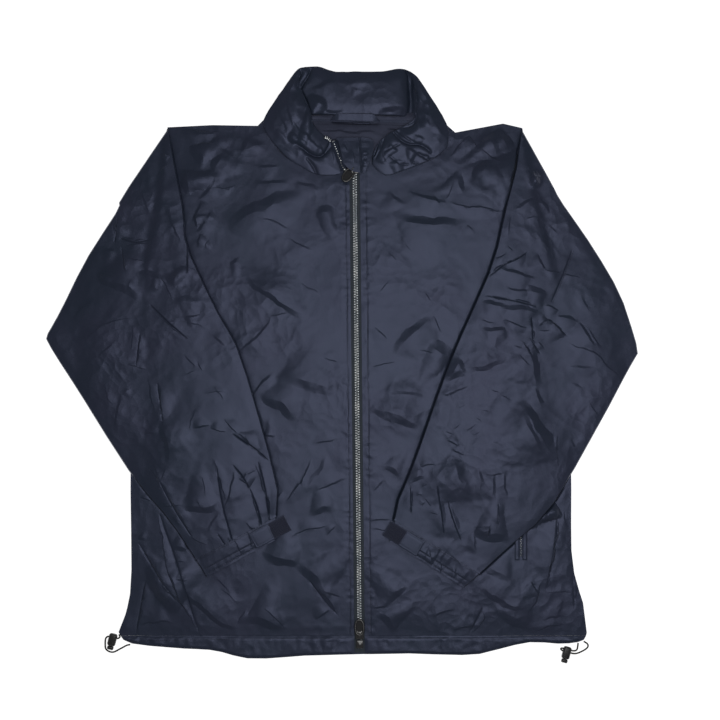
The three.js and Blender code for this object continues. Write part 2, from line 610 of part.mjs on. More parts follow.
for (const part of SIDES) {
  const line = [
    ...smooth([part.sleeveTop, ...part.outer], 12),
    ...smooth([part.elbow, ...part.under, part.mouth[0]], 12),
    ...points([part.mouth[1]]),
    ...smooth(part.inner, 14),
  ];
  part.sleeve = line;
  const { low, dropped, high } = sleeveHeights(part);
  part.sleeveTopHeight = high;

  // The lower ply is cut along the armhole, where the body's own edges come in.
  const body = prism(bodyOutline);
  const armpit = part.armhole.at(-1)[1];
  const aboveArmpit = prism(points([[-500, armpit], [500, armpit], [500, 500], [-500, 500]]));
  const besideBody = aboveArmpit.subtract(prism(grown(bodyOutline, SEAM_GAP)));
  const overBody = body.add(prism(points([[-500, -500], [500, -500], [500, armpit], [-500, armpit]])));

  const [c0, c1] = part.mouth.map(([x, y]) => new THREE.Vector2(x, y));
  const along = c1.clone().sub(c0).normalize();
  const back = new THREE.Vector2(-along.y, along.x).multiplyScalar(-part.sign);
  const stripe = (from, to) => {
    const corner = (p, side, depth) => p.clone().addScaledVector(along, side * 30).addScaledVector(back, depth);
    return prism([corner(c0, -1, from), corner(c1, 1, from), corner(c1, 1, to), corner(c0, -1, to)]);
  };
  const cuffRoom = stripe(-30, CUFF_DEPTH);

  const tube = (wall, swell, cell) => {
    const inner = prism(inset(line, wall));
    const rim = prism(line).subtract(inner).subtract(stripe(-30, 0.5));
    const top = (x, y) => high(x, y) + swell(x, y);
    const shell = (region, bottom) =>
      ply(line, bottom, raised(bottom, wall), cell)
        .add(ply(line, bottom, top, cell).intersect(rim))
        .intersect(region);
    return ply(line, (x, y) => high(x, y) - wall, top, cell)
      .add(shell(overBody, low))
      .add(shell(besideBody, dropped));
  };

  const sleeve = tube(CLOTH, () => 0, GRID).subtract(stripe(-30, CUFF_DEPTH + SEAM_GAP));
  add("sleeve_" + part.side, largest(sleeve), SHELL);

  // The cuff is drawn up by elastic along its outer half.
  const cuffLength = c0.distanceTo(c1);
  const ruffle = (x, y) => {
    const s = new THREE.Vector2(x, y).sub(c0).dot(along) / cuffLength;
    const drawn = 1 - ease(0.4, 0.55, s);
    return CUFF_LIFT * drawn * (1 + Math.sin(4 * Math.PI * CUFF_GATHERS * s));
  };
  const cuff = tube(CLOTH, ruffle, GRID / 6).intersect(cuffRoom);
  add("cuff_" + part.side, largest(cuff), SHELL);

  // The tab lies along the cuff, and its free end, with the pad, reaches past the sleeve's fold.
  const tabAt = (s, depth) => c1.clone().addScaledVector(along, part.tabReach - s).addScaledVector(back, depth);
  const tab = [tabAt(4, 1.5), tabAt(TAB.length, 1.5), tabAt(TAB.length, 1.5 + TAB.width - 4), tabAt(4, 1.5 + TAB.width - 4)];
  const onCuff = (x, y) => {
    const past = isInside(line, x, y) ? 0 : distanceTo(closed(line), x, y);
    return high(x, y) + ruffle(x, y) + SEAM_GAP - TAB.droop * ease(1, 14, past);
  };
  add("cuff_tab_" + part.side, ply(tab, onCuff, raised(onCuff, 1.2), GRID / 6), SHELL);
  const padLow = raised(onCuff, 1.2 + SEAM_GAP);
  const pad = [tabAt(5, 2), tabAt(5 + PAD.length, 2), tabAt(5 + PAD.length, PAD.width - 1), tabAt(5, PAD.width - 1)];
  add("hook_pad_" + part.side, ply(pad, padLow, raised(padLow, PAD.thick), GRID / 6), HOOKS);
}

// ---------------------------------------------------------------- side pockets

for (const part of SIDES) {
  const { x, foot, top } = POCKET[part.side];
  const strip = (half, y0, y1) => points([[x - half, y0], [x + half, y0], [x + half, y1], [x - half, y1]]);
  const onFront = raised(frontTop, SEAM_GAP);
  for (const [name, shift] of [["fore", -part.sign], ["aft", part.sign]]) {
    const welt = strip(3.2, foot, top).map((p) => p.clone().add({ x: shift * 5.2, y: 0 }));
    add("pocket_welt_" + name + "_" + part.side, ply(welt, onFront, raised(onFront, 1.6)), SHELL);
  }
  add("pocket_zip_" + part.side, ply(strip(1.7, foot + 5, top - 5), onFront, raised(onFront, 1.3)), TEETH);
}

// ---------------------------------------------------------------- hem cords and their locks

// At each side seam a loop of shock cord leaves the casing. Its two strands go through a sprung lock,
// across its length, and the button is at the end of the lock.
const CORD = 2.2;
const CORD_STEP = 2.6;
const CORD_SIDES = 8;
const LOCK = { length: 17, width: 11, thick: 9, corner: 3.4, slot: [6.4, 3.2], slotAlong: 3 };
const BUTTON = { length: 5, width: 8.6, thick: 6, corner: 2 };
const HEM_CORDS = [
  { side: "right", lock: [-309.2, -371.2, 4.8], heading: 76,
    path: [[-300.2, -364.4, 3.4], [-299.2, -367.8, 4.5], [-302.6, -369.6, 4.8], [-308.5, -368.3, 4.8],
      [-314.5, -366.8, 4.8], [-318, -369.4, 4.7], [-318.9, -376.6, 4.2], [-317.6, -384.6, 3.4],
      [-309, -388.4, 2.4], [-298, -383.4, 2], [-290.5, -379.4, 2], [-285.5, -378.2, 2]] },
  { side: "left", lock: [302.4, -388.8, 4.8], heading: 75,
    path: [[325.8, -373.7, 2.8], [331, -377.4, 3.4], [330.6, -382, 3.8], [323, -387, 4.6],
      [313.5, -390, 4.8], [303, -387.6, 4.8], [297, -385.8, 4.8], [294.6, -383.6, 4.8],
      [296.4, -382.6, 4.8], [303, -384.2, 4.8], [312, -386.2, 4.8], [316.6, -384.4, 3.8], [318.3, -375.9, 2.8]] },
];

// A block with rounded corners, length along Y.
function block({ length, width, thick, corner }) {
  const shape = new THREE.Shape();
  const [w, l] = [width / 2 - corner, length / 2 - corner];
  shape.absarc(w, l, corner, 0, Math.PI / 2);
  shape.absarc(-w, l, corner, Math.PI / 2, Math.PI);
  shape.absarc(-w, -l, corner, Math.PI, 1.5 * Math.PI);
  shape.absarc(w, -l, corner, 1.5 * Math.PI, 2 * Math.PI);
  const plan = new THREE.ExtrudeGeometry(shape, { depth: thick, bevelEnabled: false, curveSegments: 5 });
  const side = new THREE.CylinderGeometry(thick / 2, thick / 2, length + 2, 16).scale(width / thick, 1, 1);
  return solidOf(plan.translate(0, 0, -thick / 2)).intersect(solidOf(side).scale([1.12, 1, 1]));
}

for (const { side, lock, heading, path } of HEM_CORDS) {
  const [along, high] = LOCK.slot;
  const slot = new THREE.BoxGeometry(LOCK.width + 8, along, high).translate(0, LOCK.slotAlong, 0);
  const turn = [0, 0, heading - 90];
  add("cord_lock_" + side, block(LOCK).subtract(solidOf(slot)).rotate(turn).translate(lock), PLASTIC);
  const down = -(LOCK.length + BUTTON.length) / 2 - SEAM_GAP;
  add("lock_button_" + side, block(BUTTON).translate([0, down, 0]).rotate(turn).translate(lock), PLASTIC);
  const line = new THREE.CatmullRomCurve3(path.map((p) => new THREE.Vector3(...p)));
  const section = [];
  for (let k = 0; k < CORD_SIDES; k++) {
    const angle = (2 * Math.PI * k) / CORD_SIDES;
    section.push(new THREE.Vector2((CORD / 2) * Math.cos(angle), (CORD / 2) * Math.sin(angle)));
  }
  const steps = Math.ceil(line.getLength() / CORD_STEP);
  const cord = new THREE.ExtrudeGeometry(new THREE.Shape(section), { steps, extrudePath: line });
  add("hem_cord_" + side, solidOf(cord), SHOCK_CORD);
}

export default parka;
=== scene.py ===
import bmesh
import bpy
import json
import math
import random
import numpy as np
from mathutils import Euler, Matrix, Vector, geometry, kdtree, noise
from mathutils.bvhtree import BVHTree

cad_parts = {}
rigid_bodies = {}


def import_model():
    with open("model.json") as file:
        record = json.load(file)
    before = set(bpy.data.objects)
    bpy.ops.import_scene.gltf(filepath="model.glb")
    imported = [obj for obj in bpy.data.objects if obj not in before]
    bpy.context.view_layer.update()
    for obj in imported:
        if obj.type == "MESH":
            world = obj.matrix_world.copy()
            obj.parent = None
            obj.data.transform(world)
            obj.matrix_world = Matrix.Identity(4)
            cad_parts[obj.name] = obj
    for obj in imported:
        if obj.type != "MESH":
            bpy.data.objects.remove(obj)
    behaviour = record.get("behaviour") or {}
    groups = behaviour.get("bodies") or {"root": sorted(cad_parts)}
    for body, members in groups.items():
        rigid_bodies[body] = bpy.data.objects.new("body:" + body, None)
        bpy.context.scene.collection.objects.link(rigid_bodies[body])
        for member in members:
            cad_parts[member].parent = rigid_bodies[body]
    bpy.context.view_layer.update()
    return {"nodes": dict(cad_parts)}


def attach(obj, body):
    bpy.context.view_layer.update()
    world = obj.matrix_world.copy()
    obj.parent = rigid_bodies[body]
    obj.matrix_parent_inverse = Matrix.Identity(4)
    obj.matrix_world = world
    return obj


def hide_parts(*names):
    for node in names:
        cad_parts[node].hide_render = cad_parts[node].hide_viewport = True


random.seed(5)
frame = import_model()

# ---------------------------------------------------------------------------
# The table that the parka lies on, the lamp over it and the camera straight above.
# One broad soft lamp hangs high up, a little to the wearer's left, in a dim pale room.
LAMP = Vector((0.14, -0.03, 1.2))

camera_data = bpy.data.cameras.new("overhead")
camera_data.lens = 96.8
camera_data.sensor_width = 36
camera = bpy.data.objects.new("overhead", camera_data)
camera.location = (0.0243, 0.0054, 2.612)
bpy.context.scene.collection.objects.link(camera)
bpy.context.scene.camera = camera

lamp_data = bpy.data.lights.new("window", "AREA")
lamp_data.shape = "DISK"
lamp_data.size = 0.85
lamp_data.energy = 4.4
lamp = bpy.data.objects.new("window", lamp_data)
lamp.location = LAMP
lamp.rotation_euler = (-LAMP).to_track_quat("-Z", "Y").to_euler()
bpy.context.scene.collection.objects.link(lamp)

room = bpy.data.worlds.new("room")
room.use_nodes = True
room.node_tree.nodes["Background"].inputs["Color"].default_value = (1, 1, 1, 1)
room.node_tree.nodes["Background"].inputs["Strength"].default_value = 0.22
bpy.context.scene.world = room
bpy.context.scene.view_settings.view_transform = "Standard"

bpy.ops.object.select_all(action="DESELECT")
bpy.ops.mesh.primitive_plane_add(size=6, location=(0, 0, -0.0006))
table = bpy.context.object
table.name = "table"
table_paint = bpy.data.materials.new("table white")
table_paint.use_nodes = True
table_shader = table_paint.node_tree.nodes["Principled BSDF"]
table_shader.inputs["Base Color"].default_value = (0.9, 0.9, 0.9, 1)
table_shader.inputs["Roughness"].default_value = 0.9
table_shader.inputs["Specular IOR Level"].default_value = 0.1
table_shader.inputs["Emission Color"].default_value = (1, 1, 1, 1)
table_shader.inputs["Emission Strength"].default_value = 0.8
table.data.materials.append(table_paint)

# ---------------------------------------------------------------------------
# The two shock cords of the hem, grey-black elastic braid 2.2 mm thick. Each leaves the
# casing at the side seam, goes through its lock and back, and ends inside the casing.
CORD = 0.0022
HEM_CORDS = {
    "right": [(-300.2, -364.4, 3.4), (-299.2, -367.8, 4.5), (-302.6, -369.6, 4.8), (-308.5, -368.3, 4.8),
              (-314.5, -366.8, 4.8), (-318, -369.4, 4.7), (-318.9, -376.6, 4.2), (-317.6, -384.6, 3.4),
              (-309, -388.4, 2.4), (-298, -383.4, 2), (-290.5, -379.4, 2), (-285.5, -378.2, 2)],
    "left": [(325.8, -373.7, 2.8), (331, -377.4, 3.4), (330.6, -382, 3.8), (323, -387, 4.6),
             (313.5, -390, 4.8), (303, -387.6, 4.8), (297, -385.8, 4.8), (294.6, -383.6, 4.8),
             (296.4, -382.6, 4.8), (303, -384.2, 4.8), (312, -386.2, 4.8), (316.6, -384.4, 3.8), (318.3, -375.9, 2.8)],
}


class Signal:
    """A value in a shader, worked on with Python's own operators."""

    def __init__(self, tree, socket=None):
        self.tree, self.socket = tree, socket

    def node(self, kind, settings=None, out=0, **values):
        """Adds a node. i3=value fills its fourth socket, and Scale=value the one of that name."""
        made = self.tree.nodes.new(kind)
        for key, value in (settings or {}).items():
            setattr(made, key, value)
        for key, value in values.items():
            socket = made.inputs[int(key[1:]) if key[1:].isdigit() else key.replace("_", " ")]
            if isinstance(value, Signal):
                self.tree.links.new(value.socket, socket)
            else:
                socket.default_value = value
        return Signal(self.tree, made.outputs[out])

    def math(self, operation, *values):
        return self.node("ShaderNodeMath", {"operation": operation}, **{f"i{k}": v for k, v in enumerate(values)})

    def __add__(self, other): return self.math("ADD", self, other)
    def __radd__(self, other): return self.math("ADD", other, self)
    def __sub__(self, other): return self.math("SUBTRACT", self, other)
    def __rsub__(self, other): return self.math("SUBTRACT", other, self)
    def __mul__(self, other): return self.math("MULTIPLY", self, other)
    def __rmul__(self, other): return self.math("MULTIPLY", other, self)
    def wave(self): return self.math("SINE", self)
    def size(self): return self.math("ABSOLUTE", self)
    def clamp(self): return self.math("MINIMUM", self.math("MAXIMUM", self, 0.0), 1.0)

    def blend(self, low, high):
        return self.node("ShaderNodeMix", {"data_type": "RGBA"}, out=2, i0=self, i6=(*low, 1), i7=(*high, 1))

    def part(self, k):
        return self.node("ShaderNodeSeparateXYZ", None, out=k, Vector=self)

    def feed(self, shader, name):
        self.tree.links.new(self.socket, shader.inputs[name])


def new_finish(name, **constants):
    """A material, its shader, and the two places that its pattern may follow."""
    finish = bpy.data.materials.new(name)
    finish.use_nodes = True
    shader = finish.node_tree.nodes["Principled BSDF"]
    for key, value in constants.items():
        shader.inputs[key.replace("_", " ")].default_value = value
    start = Signal(finish.node_tree)
    where = start.node("ShaderNodeTexCoord", None, out=3)
    laid = start.node("ShaderNodeTexCoord", None, out=2)
    return finish, shader, start, where, laid


cord_braid, shader, start, where, laid = new_finish("shock cord braid", Specular_IOR_Level=0.3)
strand = 2 * math.pi / 0.0011
crossing = (laid.part(0) * strand + laid.part(1) * strand).wave() * (laid.part(0) * strand - laid.part(1) * strand).wave()
fleck = start.node("ShaderNodeTexNoise", None, Vector=where, Scale=900.0, Detail=1.0)
(crossing * 0.35 + fleck).clamp().blend((0.012, 0.012, 0.011), (0.060, 0.062, 0.052)).feed(shader, "Base Color")
(0.62 + fleck * 0.3).feed(shader, "Roughness")
start.node("ShaderNodeBump", None, Height=crossing, Strength=0.7, Distance=0.00012).feed(shader, "Normal")


def smooth_line(points, step):
    """A smooth line through some points, as points a step apart."""
    points = np.array(points, float)
    padded = np.concatenate([[2 * points[0] - points[1]], points, [2 * points[-1] - points[-2]]])
    fine = []
    for a, b, c, d in zip(padded, padded[1:], padded[2:], padded[3:]):
        for t in np.linspace(0, 1, 12, endpoint=False):
            fine.append(0.5 * (2 * b + (c - a) * t + (2 * a - 5 * b + 4 * c - d) * t ** 2 + (3 * b - a - 3 * c + d) * t ** 3))
    fine = np.array(fine + [points[-1]])
    gone = np.concatenate([[0], np.cumsum(np.linalg.norm(np.diff(fine, axis=0), axis=1))])
    at = np.linspace(0, gone[-1], max(2, round(gone[-1] / step) + 1))
    return np.stack([np.interp(at, gone, fine[:, k]) for k in range(points.shape[1])], 1)


def link_mesh(name, corners, faces, finish, uvs=None):
    """A mesh object of the given corners and faces. uvs holds one place for each corner of each face."""
    mesh = bpy.data.meshes.new(name)
    mesh.from_pydata([tuple(map(float, p)) for p in corners], [], [tuple(map(int, f)) for f in faces])
    if uvs is not None:
        mesh.uv_layers.new(name="laid").data.foreach_set("uv", np.asarray(uvs, float).ravel())
    mesh.materials.append(finish)
    piece = bpy.data.objects.new(name, mesh)
    bpy.context.scene.collection.objects.link(piece)
    bpy.ops.object.select_all(action="DESELECT")
    piece.select_set(True)
    bpy.context.view_layer.objects.active = piece
    bpy.ops.object.shade_smooth()
    return piece


def tube_mesh(name, line, radius, sides, finish):
    """A closed tube along a line, with the length along it and the way round it as its UV map."""
    steps = np.gradient(line, axis=0)
    steps /= np.linalg.norm(steps, axis=1)[:, None]
    across = np.cross(steps, (0, 0, 1.0))
    across /= np.linalg.norm(across, axis=1)[:, None]
    over = np.cross(across, steps)
    turn = np.linspace(0, 2 * math.pi, sides, endpoint=False)
    rings = line[:, None] + radius * (np.cos(turn)[:, None] * across[:, None] + np.sin(turn)[:, None] * over[:, None])
    count = len(line)
    corners = np.concatenate([rings.reshape(-1, 3), [line[0], line[-1]]])
    gone = np.concatenate([[0], np.cumsum(np.linalg.norm(np.diff(line, axis=0), axis=1))])
    faces, uvs = [], []
    for i in range(count - 1):
        for k in range(sides):
            j = (k + 1) % sides
            faces.append((i * sides + k, i * sides + j, (i + 1) * sides + j, (i + 1) * sides + k))
            round_now, round_next = (2 * math.pi * radius * v / sides for v in (k, k + 1))
            uvs += [(gone[i], round_now), (gone[i], round_next), (gone[i + 1], round_next), (gone[i + 1], round_now)]
    for k in range(sides):
        j = (k + 1) % sides
        faces += [(count * sides, j, k), (count * sides + 1, (count - 1) * sides + k, (count - 1) * sides + j)]
        uvs += [(0, 0)] * 6
    return link_mesh(name, corners, faces, finish, uvs)


for side, points in HEM_CORDS.items():
    line = smooth_line(np.array(points) / 1000, 0.0006)
    cord = tube_mesh("shock_cord_" + side, line, CORD / 2, 12, cord_braid)
    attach(cord, "parka")
    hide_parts("hem_cord_" + side)
    length = float(np.linalg.norm(np.diff(line, axis=0), axis=1).sum())
    [tuple(p) for p in smooth_line(np.array(points) / 1000, 0.004)]

# ---------------------------------------------------------------------------
# The back panel, one layer of nylon, flat on the table from the neck seam to the hem
# casing, and the casing's own back strip. All the rest lies on these two.
CELL = 0.0025
PLY = 0.0011


def nylon(name, dark, light, roughness, crumple):
    """Plain nylon taffeta: a dull shine, a little uneven, over a fine weave and a net of small creases."""
    finish, shader, start, where, laid = new_finish(
        name, Specular_IOR_Level=0.6, Specular_Tint=(0.6, 0.66, 1.0, 1), Sheen_Weight=0.08, Sheen_Roughness=0.4)
    cloud = start.node("ShaderNodeTexNoise", None, Vector=where, Scale=8.0, Detail=4.0, Roughness=0.65, Distortion=0.5)
    grit = start.node("ShaderNodeTexNoise", None, Vector=where, Scale=260.0, Detail=2.0)
    (cloud * 2.2 - 0.6 + (grit - 0.5) * 0.5).clamp().blend(dark, light).feed(shader, "Base Color")
    (roughness - 0.05 + cloud * 0.1).feed(shader, "Roughness")
    threads = (laid.part(0) * (2 * math.pi / 0.0007)).wave() * (laid.part(1) * (2 * math.pi / 0.0007)).wave()
    weave = start.node("ShaderNodeBump", None, Height=threads, Strength=0.4, Distance=0.00003)
    ridges = start.node("ShaderNodeTexNoise", {"noise_type": "RIDGED_MULTIFRACTAL", "normalize": True},
                        Vector=where, Scale=24.0, Detail=4.0, Roughness=0.5, Distortion=0.8)
    net = start.node("ShaderNodeBump", None, Height=ridges, Strength=0.7, Distance=crumple, Normal=weave)
    patch = start.node("ShaderNodeTexNoise", None, Vector=where, Scale=8.0, Detail=1.0)
    drift = start.node("ShaderNodeTexNoise", None, out=1, Vector=where, Scale=16.0, Detail=2.0)
    moved = start.node("ShaderNodeVectorMath", {"operation": "MULTIPLY_ADD"}, i0=drift, i1=(0.03, 0.03, 0.0), i2=where)
    broad = start.node("ShaderNodeTexVoronoi", None, Vector=moved, Scale=34.0)
    small = start.node("ShaderNodeTexVoronoi", None, Vector=moved, Scale=88.0)
    facets = (broad + small * 0.4) * (patch * 5.0 - 2.1).clamp()
    start.node("ShaderNodeBump", None, Height=facets, Strength=1.0, Distance=crumple * 3.0, Normal=net).feed(
        shader, "Normal")
    return finish


shell_nylon = nylon("navy nylon", (0.0115, 0.0200, 0.0325), (0.0228, 0.0262, 0.0470), 0.37, 0.0005)


def outer_faces(name, up):
    """The triangles of a CAD piece that it doesn't cover itself, seen from above or below, and their outline."""
    bm = bmesh.new()
    bm.from_mesh(frame["nodes"][name].data)
    bmesh.ops.remove_doubles(bm, verts=bm.verts, dist=2e-5)
    bmesh.ops.dissolve_degenerate(bm, edges=bm.edges, dist=1e-6)
    bmesh.ops.triangulate(bm, faces=bm.faces)
    tree = BVHTree.FromBMesh(bm)
    shown = set()
    for face in bm.faces:
        if face.normal.z * up > 0.08 and face.calc_area() > 1e-12:
            start = face.calc_center_median() + Vector((0, 0, up * 2e-5))
            if tree.ray_cast(start, Vector((0, 0, up)))[0] is None:
                shown.add(face)
    border = {}
    for face in shown:
        for loop in face.loops:
            if not any(f in shown for f in loop.edge.link_faces if f is not face):
                border.setdefault(loop.vert, []).append(loop.link_loop_next.vert)
    rings = []
    while border:
        ring = [next(iter(border))]
        while ring[-1] in border:
            follow = border[ring[-1]]
            step = follow.pop()
            if not follow:
                del border[ring[-1]]
            ring.append(step)
            if step is ring[0]:
                break
        rings.append(np.array([v.co[:2] for v in ring[:-1]]))
    ring = max(rings, key=ring_area)
    triangles = np.array([[v.co.to_tuple() for v in face.verts] for face in shown])
    bm.free()
    return triangles, ring


def ring_area(ring):
    return 0.5 * abs(np.dot(ring[:, 0], np.roll(ring[:, 1], 1)) - np.dot(ring[:, 1], np.roll(ring[:, 0], 1)))


def height_over(triangles):
    """The height of some triangles over a point of the table, taken at the nearest one."""
    flat = triangles.reshape(-1, 3).copy()
    flat[:, 2] = 0
    tree = BVHTree.FromPolygons([tuple(p) for p in flat], [(3 * k, 3 * k + 1, 3 * k + 2) for k in range(len(triangles))])

    def height(points):
        found = []
        for x, y in points:
            near, _, k, _ = tree.find_nearest(Vector((x, y, 0)))
            a, b, c = triangles[k]
            n = np.cross(b - a, c - a)
            found.append(a[2] - (n[0] * (near.x - a[0]) + n[1] * (near.y - a[1])) / n[2])
        return np.array(found)

    return height


def inside(points, ring):
    hit = np.zeros(len(points), bool)
    for (x0, y0), (x1, y1) in zip(ring, np.roll(ring, -1, 0)):
        if y0 != y1:
            crosses = (y0 > points[:, 1]) != (y1 > points[:, 1])
            hit ^= crosses & (points[:, 0] < (x1 - x0) * (points[:, 1] - y0) / (y1 - y0) + x0)
    return hit


def away_from(points, line, closes=True):
    best = np.full(len(points), np.inf)
    for a, b in zip(line, np.roll(line, -1, 0) if closes else line[1:]):
        d = b - a
        t = np.clip(((points - a) @ d) / max(d @ d, 1e-18), 0, 1)
        best = np.minimum(best, np.hypot(*(points - a - t[:, None] * d).T))
    return best


def resample(ring, cell):
    """Points along an outline, a cell apart, that keep its corners."""
    before, after = ring - np.roll(ring, 1, 0), np.roll(ring, -1, 0) - ring
    turn = np.abs(np.arctan2(before[:, 0] * after[:, 1] - before[:, 1] * after[:, 0], (before * after).sum(1)))
    corners = np.flatnonzero(turn > 0.35)
    corners = corners if len(corners) else np.array([0])
    out = []
    for start, stop in zip(corners, np.roll(corners, -1)):
        stop = stop if stop > start else stop + len(ring)
        run = ring[np.arange(start, stop + 1) % len(ring)]
        gone = np.concatenate([[0], np.cumsum(np.hypot(*np.diff(run, axis=0).T))])
        at = np.linspace(0, gone[-1], max(1, round(gone[-1] / cell)) + 1)[:-1]
        out.append(np.stack([np.interp(at, gone, run[:, k]) for k in (0, 1)], 1))
    out = np.concatenate(out)
    near = np.hypot(*(out - np.roll(out, 1, 0)).T) < 0.25 * cell
    return out[~near]


def crease_frames(table):
    """The start, direction, length, half-width, slope and bow of each crease, in metres."""
    for x0, y0, x1, y1, width, slope, bow in table:
        start, run = np.array((x0, y0)) / 1000, np.array((x1 - x0, y1 - y0)) / 1000
        length = math.hypot(*run)
        yield start, run / length, length, width * min(0.8, 0.36 + 0.14 * max(0, width - 2.4)) / 1000, slope, bow / 1000


def bent(points):
    """How far the wear of the cloth moves its creases aside."""
    out = np.empty((len(points), 2))
    for k, (x, y) in enumerate(points):
        broad, small = noise.noise_vector(Vector((x * 45, y * 45, 0.3))), noise.noise_vector(Vector((x * 130, y * 130, 4.1)))
        out[k] = (broad.x * 0.0042 + small.x * 0.0012, broad.y * 0.0042 + small.y * 0.0012)
    return out


def crease_lines(table, step):
    """Points along both sides of each crease, so that the cloth's triangles break there."""
    out = []
    for start, run, length, width, _, bow in crease_frames(table):
        t = np.linspace(0.04, 0.96, max(4, round(length / step)))
        swell = 0.25 + 0.75 * np.sqrt(1 - (2 * t - 1) ** 2)
        side = np.array((-run[1], run[0]))
        middle = start + np.outer(t * length, run) + np.outer(4 * bow * t * (1 - t), side)
        out += [middle + np.outer(width * swell, side), middle - np.outer(width * swell, side)]
    out = np.concatenate(out)
    return out - bent(out)


def creases(points, table):
    """How far the pressed-in creases lift the cloth. A crease is a narrow steep face with a long soft back.

    The steep face looks away from the lamp.
    """
    rise = np.zeros(len(points))
    points = points + bent(points)
    for start, run, length, width, slope, bow in crease_frames(table):
        side = np.array((-run[1], run[0]))
        middle = start + run * length / 2 + side * bow
        high = 1 if side @ (2.11 * middle - np.array(LAMP.xy)) * slope < 0 else -1
        slope = (0.85 if width > 0.0016 else 1.3) * abs(slope)
        along = np.clip((points - start) @ run / length, 0, 1)
        swell = np.clip(1 - (2 * along - 1) ** 2, 0, 1)
        across = ((points - start) @ side - 4 * bow * along * (1 - along)) * high
        beyond = np.abs((points - start) @ run / length - 0.5) > 0.5
        wide = width * (0.25 + 0.75 * np.sqrt(swell))
        height = 2 * wide * slope * swell
        tail = (6 * wide + 9 * height) * np.sqrt(swell) + 0.0005
        up = np.clip((across + wide) / (2 * wide), 0, 1)
        down = np.clip(1 - (across - wide) / tail, 0, 1)
        lift = height * (0.75 * up + 0.25 * up * up * (3 - 2 * up)) * down * down * (3 - 2 * down)
        rise += np.where(beyond, 0, lift)
    return rise


def fold_points(folds):
    """Points along the deep folds, close enough for the cloth to break sharply there."""
    out = []
    for width, _, *line in folds:
        line = smooth_line(np.array(line) / 1000, 0.0016)
        run = np.gradient(line, axis=0)
        side = np.stack([-run[:, 1], run[:, 0]], 1) / np.hypot(*run.T)[:, None]
        out += [line + side * by * width / 1000 for by in (0, -0.9, 0.9, -2, 2)]
    return np.concatenate(out) if out else np.empty((0, 2))


def inset(ring, by, step):
    """Points a little inside an outline, along it."""
    ring = resample(ring, step)
    run = np.roll(ring, -1, 0) - np.roll(ring, 1, 0)
    turn = np.sum(ring[:, 0] * np.roll(ring[:, 1], -1) - np.roll(ring[:, 0], -1) * ring[:, 1])
    side = np.stack([-run[:, 1], run[:, 0]], 1) / np.hypot(*run.T)[:, None] * (1 if turn > 0 else -1)
    moved = ring + side * by
    return moved[away_from(moved, ring) > 0.8 * by]


def pressed(points, folds):
    """How deep the deep folds press into the cloth. Each is sharp, and runs out at both its ends."""
    deep = np.zeros(len(points))
    for width, depth, *line in folds:
        line = smooth_line(np.array(line) / 1000, 0.0016)
        steps = np.hypot(*np.diff(line, axis=0).T)
        gone = np.concatenate([[0], np.cumsum(steps)])
        best, at = np.full(len(points), np.inf), np.zeros(len(points))
        for a, b, before, step in zip(line, line[1:], gone, steps):
            t = np.clip(((points - a) @ (b - a)) / step ** 2, 0, 1)
            away = np.hypot(*(points - a - t[:, None] * (b - a)).T)
            at = np.where(away < best, (before + t * step) / gone[-1], at)
            best = np.minimum(best, away)
        taper = np.sqrt(np.clip(1 - (2 * at - 1) ** 4, 0, 1)) * 0.8 + 0.2
        deep = np.maximum(deep, depth / 1000 * np.exp(-best / (width / 1000)) * taper)
    return deep


def crumple(points, seed, fineness, size):
    """The net of small facets that nylon keeps from being folded away."""
    out = np.empty(len(points))
    for k, (x, y) in enumerate(points):
        p = Vector((x * fineness + seed, y * fineness - seed, seed * 0.37))
        p += 0.35 * noise.noise_vector(p * 0.7)
        out[k] = 1 - 2 * abs(noise.noise(p)) + 0.5 * (1 - 2 * abs(noise.noise(p * 2.1 + Vector((7, 1, 3)))))
    return out * size


def cut_cloth(ring, cell, extra=(), slits=()):
    """Cloth cut to an outline, as points and triangles. The rim's points come first, then the extra ones."""
    rim = resample(ring, cell)
    low, high = ring.min(0), ring.max(0)
    lattice = []
    for k, y in enumerate(np.arange(low[1], high[1], cell * 0.866)):
        xs = np.arange(low[0] + (k % 2) * cell / 2, high[0], cell)
        lattice.append(np.stack([xs, np.full(len(xs), y)], 1))
    kept = [rim]
    for points, room in [(np.asarray(e), 0.0007) for e in extra if len(e)] + [(np.concatenate(lattice), 0.5 * cell)]:
        points = points[inside(points, ring)]
        points = points[away_from(points, rim) > 0.4 * cell]
        known = np.concatenate(kept)
        tree = kdtree.KDTree(len(known) + len(points))
        for k, p in enumerate(known):
            tree.insert((*p, 0), k)
        tree.balance()
        points = points[[tree.find((*p, 0))[2] > room for p in points]]
        kept.append(points)
    edges = []
    for slit in slits:
        first = sum(map(len, kept))
        kept.append(slit)
        edges += [(first + k, first + k + 1) for k in range(len(slit) - 1)]
    points = np.concatenate(kept)
    result = geometry.delaunay_2d_cdt([Vector(p) for p in points], edges, [list(range(len(rim)))], 1, 1e-6)
    points = np.array([tuple(v) for v in result[0]])
    triangles = np.array([f for f in result[2] if len(f) == 3])
    a, b, c = (points[triangles[:, k]] for k in range(3))
    area = (b[:, 0] - a[:, 0]) * (c[:, 1] - a[:, 1]) - (b[:, 1] - a[:, 1]) * (c[:, 0] - a[:, 0])
    triangles[area < 0] = triangles[area < 0][:, ::-1]
    return points, triangles[np.abs(area) > 1e-13]


def relax(heights, triangles, rounds, fixed=None):
    """Takes the flats and breaks out of a surface."""
    edges = np.concatenate([triangles[:, [0, 1]], triangles[:, [1, 2]], triangles[:, [2, 0]]])
    edges = np.unique(np.sort(edges, 1), axis=0)
    count = np.maximum(np.bincount(edges.ravel(), minlength=len(heights)), 1)
    for _ in range(rounds):
        total = np.bincount(edges[:, 0], heights[edges[:, 1]], len(heights))
        total += np.bincount(edges[:, 1], heights[edges[:, 0]], len(heights))
        heights = total / count if fixed is None else np.where(fixed, heights, total / count)
    return heights


